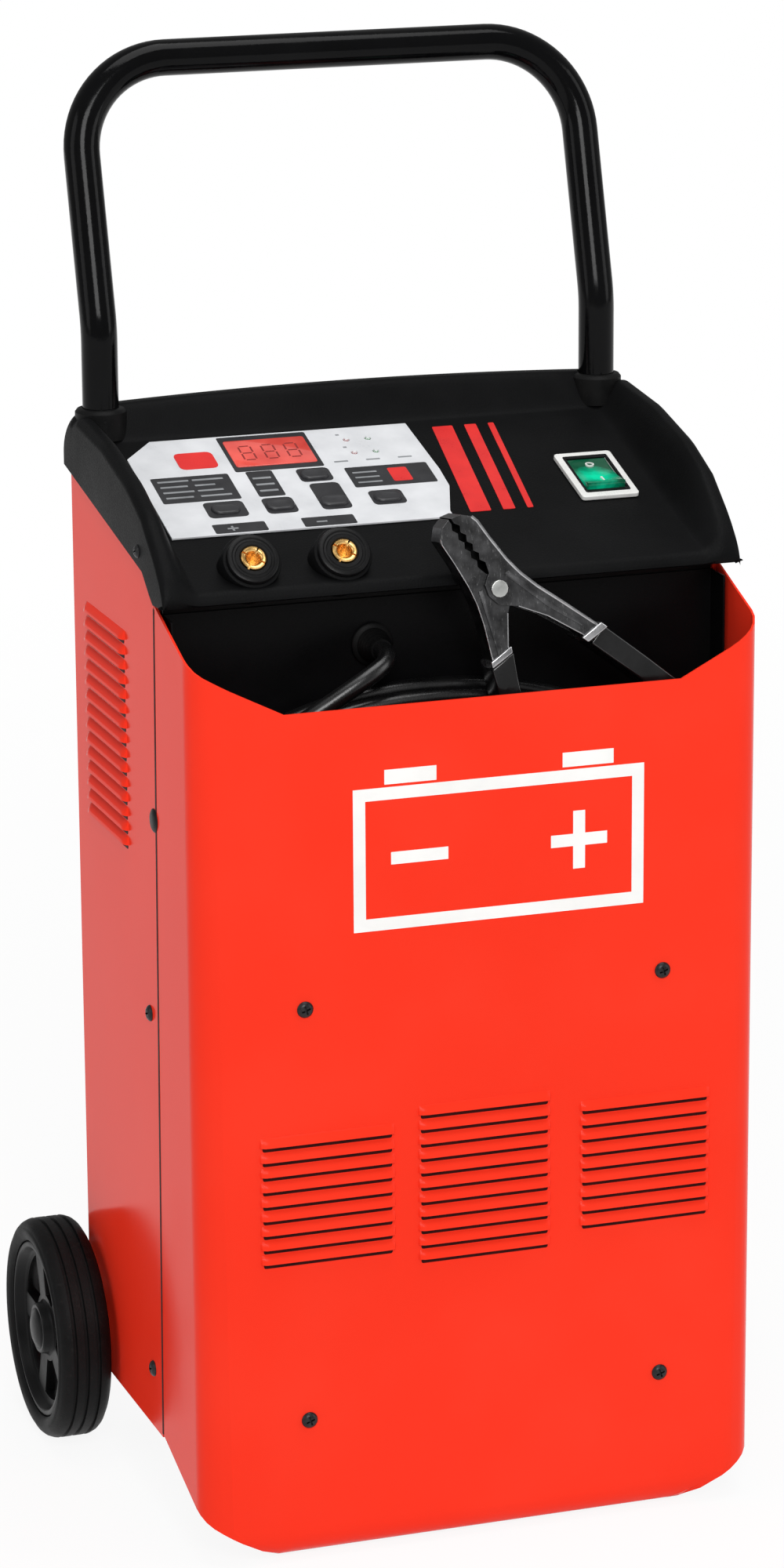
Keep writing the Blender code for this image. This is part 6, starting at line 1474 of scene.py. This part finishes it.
class CHARGER_OT_stage(bpy.types.Operator):
    """Set the floor, lamps, world and camera"""
    bl_idname = "charger.stage"
    bl_label = "Stage"

    def execute(self, context):
        scene = context.scene
        scene.view_settings.view_transform = "Standard"
        self.floor()
        self.world(scene)
        for settings in LAMPS:
            self.lamp(*settings)
        self.camera(scene)
        return {"FINISHED"}

    def floor(self):
        deselect()
        bpy.ops.mesh.primitive_grid_add(x_subdivisions=8, y_subdivisions=8, size=16.0)
        floor = bpy.context.object
        floor.name = "studio_floor"
        made = Finish("studio_paper")
        tree = made.tree
        fine = made.noise(900.0, 3.0)
        made.link(made.blend(made.spread(made.noise(1.5), 0.0, 1.0), tuple(colours().floor),
                             tuple(c * 0.99 for c in colours().floor)), made.shader.inputs["Base Color"])
        made.set(Roughness=0.9, Specular_IOR_Level=0.1)
        made.relief(fine, 0.00005)
        glow = tree.nodes.new("ShaderNodeEmission")
        glow.inputs["Color"].default_value = (1.0, 1.0, 1.0, 1.0)
        path = tree.nodes.new("ShaderNodeLightPath")
        seen = made.add(made.add(path.outputs["Is Camera Ray"], path.outputs["Is Glossy Ray"], "MAXIMUM"),
                        path.outputs["Is Transmission Ray"], "MAXIMUM")
        reach = tree.nodes.new("ShaderNodeVectorMath")
        reach.operation = "LENGTH"
        made.link(made.place, reach.inputs[0])
        share = made.add(seen, made.spread(reach.outputs["Value"], 0.90, 1.0, 0.5, 2.2), "MULTIPLY")
        mix = tree.nodes.new("ShaderNodeMixShader")
        made.link(share, mix.inputs[0])
        made.link(made.shader.outputs[0], mix.inputs[1])
        made.link(glow.outputs[0], mix.inputs[2])
        made.link(mix.outputs[0], tree.nodes["Material Output"].inputs["Surface"])
        floor.data.materials.append(made.material)

    def world(self, scene):
        world = bpy.data.worlds.new("studio_air")
        scene.world = world
        world.use_nodes = True
        tree = world.node_tree
        back = tree.nodes["Background"]
        back.inputs["Color"].default_value = (1.0, 1.0, 1.0, 1.0)
        path = tree.nodes.new("ShaderNodeLightPath")
        seen = tree.nodes.new("ShaderNodeMath")
        seen.operation = "MAXIMUM"
        tree.links.new(path.outputs["Is Camera Ray"], seen.inputs[0])
        tree.links.new(path.outputs["Is Transmission Ray"], seen.inputs[1])
        level = tree.nodes.new("ShaderNodeMapRange")
        level.inputs["To Min"].default_value = 0.36
        level.inputs["To Max"].default_value = 1.0
        tree.links.new(seen.outputs[0], level.inputs["Value"])
        tree.links.new(level.outputs["Result"], back.inputs["Strength"])

    def lamp(self, name, place, target, width, height, power):
        light = bpy.data.lights.new(name, "AREA")
        light.shape = "RECTANGLE"
        light.size = width
        light.size_y = height
        light.energy = power
        obj = new_object(name, light)
        obj.location = place
        way = Vector(target) - Vector(place)
        obj.rotation_euler = way.to_track_quat("-Z", "Y").to_euler()

    def camera(self, scene):
        yaw, pitch, roll = (math.radians(angle) for angle in CAMERA_ANGLES)
        ahead = Vector((math.sin(yaw) * math.cos(pitch), math.cos(yaw) * math.cos(pitch), -math.sin(pitch)))
        right = Vector((math.cos(yaw), -math.sin(yaw), 0.0))
        down = ahead.cross(right)
        turned_right = right * math.cos(roll) + down * math.sin(roll)
        turned_down = down * math.cos(roll) - right * math.sin(roll)
        matrix = Matrix((turned_right, -turned_down, -ahead)).transposed().to_4x4()
        matrix.translation = Vector(CAMERA_PLACE)
        lens = bpy.data.cameras.new("studio_camera")
        lens.sensor_width = 36.0
        lens.lens = sizes().lens_view
        lens.dof.use_dof = False
        lens.clip_end = 100.0
        obj = new_object("studio_camera", lens)
        obj.matrix_world = matrix
        scene.camera = obj


STEPS = ("stage", "cabinet", "louvres", "console", "sockets", "panel", "keys", "switch", "symbols", "handle",
         "wheels", "fasteners", "clamp", "lead")


class CHARGER_PT_panel(bpy.types.Panel):
    """Buttons for each group of pieces"""
    bl_idname = "CHARGER_PT_panel"
    bl_label = "Battery charger"
    bl_space_type = "VIEW_3D"
    bl_region_type = "UI"
    bl_category = "Charger"

    def draw(self, context):
        for group in (context.scene.charger_sizes, context.scene.charger_colours):
            for key in group.__annotations__:
                self.layout.prop(group, key)
        for step in STEPS:
            self.layout.operator("charger." + step)


CLASSES = (ChargerSizes, ChargerColours, CHARGER_OT_stage, CHARGER_OT_cabinet, CHARGER_OT_louvres,
           CHARGER_OT_console, CHARGER_OT_sockets, CHARGER_OT_panel, CHARGER_OT_keys, CHARGER_OT_switch,
           CHARGER_OT_symbols, CHARGER_OT_handle, CHARGER_OT_wheels, CHARGER_OT_fasteners, CHARGER_OT_clamp,
           CHARGER_OT_lead, CHARGER_PT_panel)


def register():
    for item in CLASSES:
        bpy.utils.register_class(item)
    bpy.types.Scene.charger_sizes = bpy.props.PointerProperty(type=ChargerSizes)
    bpy.types.Scene.charger_colours = bpy.props.PointerProperty(type=ChargerColours)


def unregister():
    del bpy.types.Scene.charger_colours
    del bpy.types.Scene.charger_sizes
    for item in reversed(CLASSES):
        bpy.utils.unregister_class(item)


def main():
    register()
    for step in STEPS:
        getattr(bpy.ops.charger, step)()


if __name__ == "__main__":
    main()
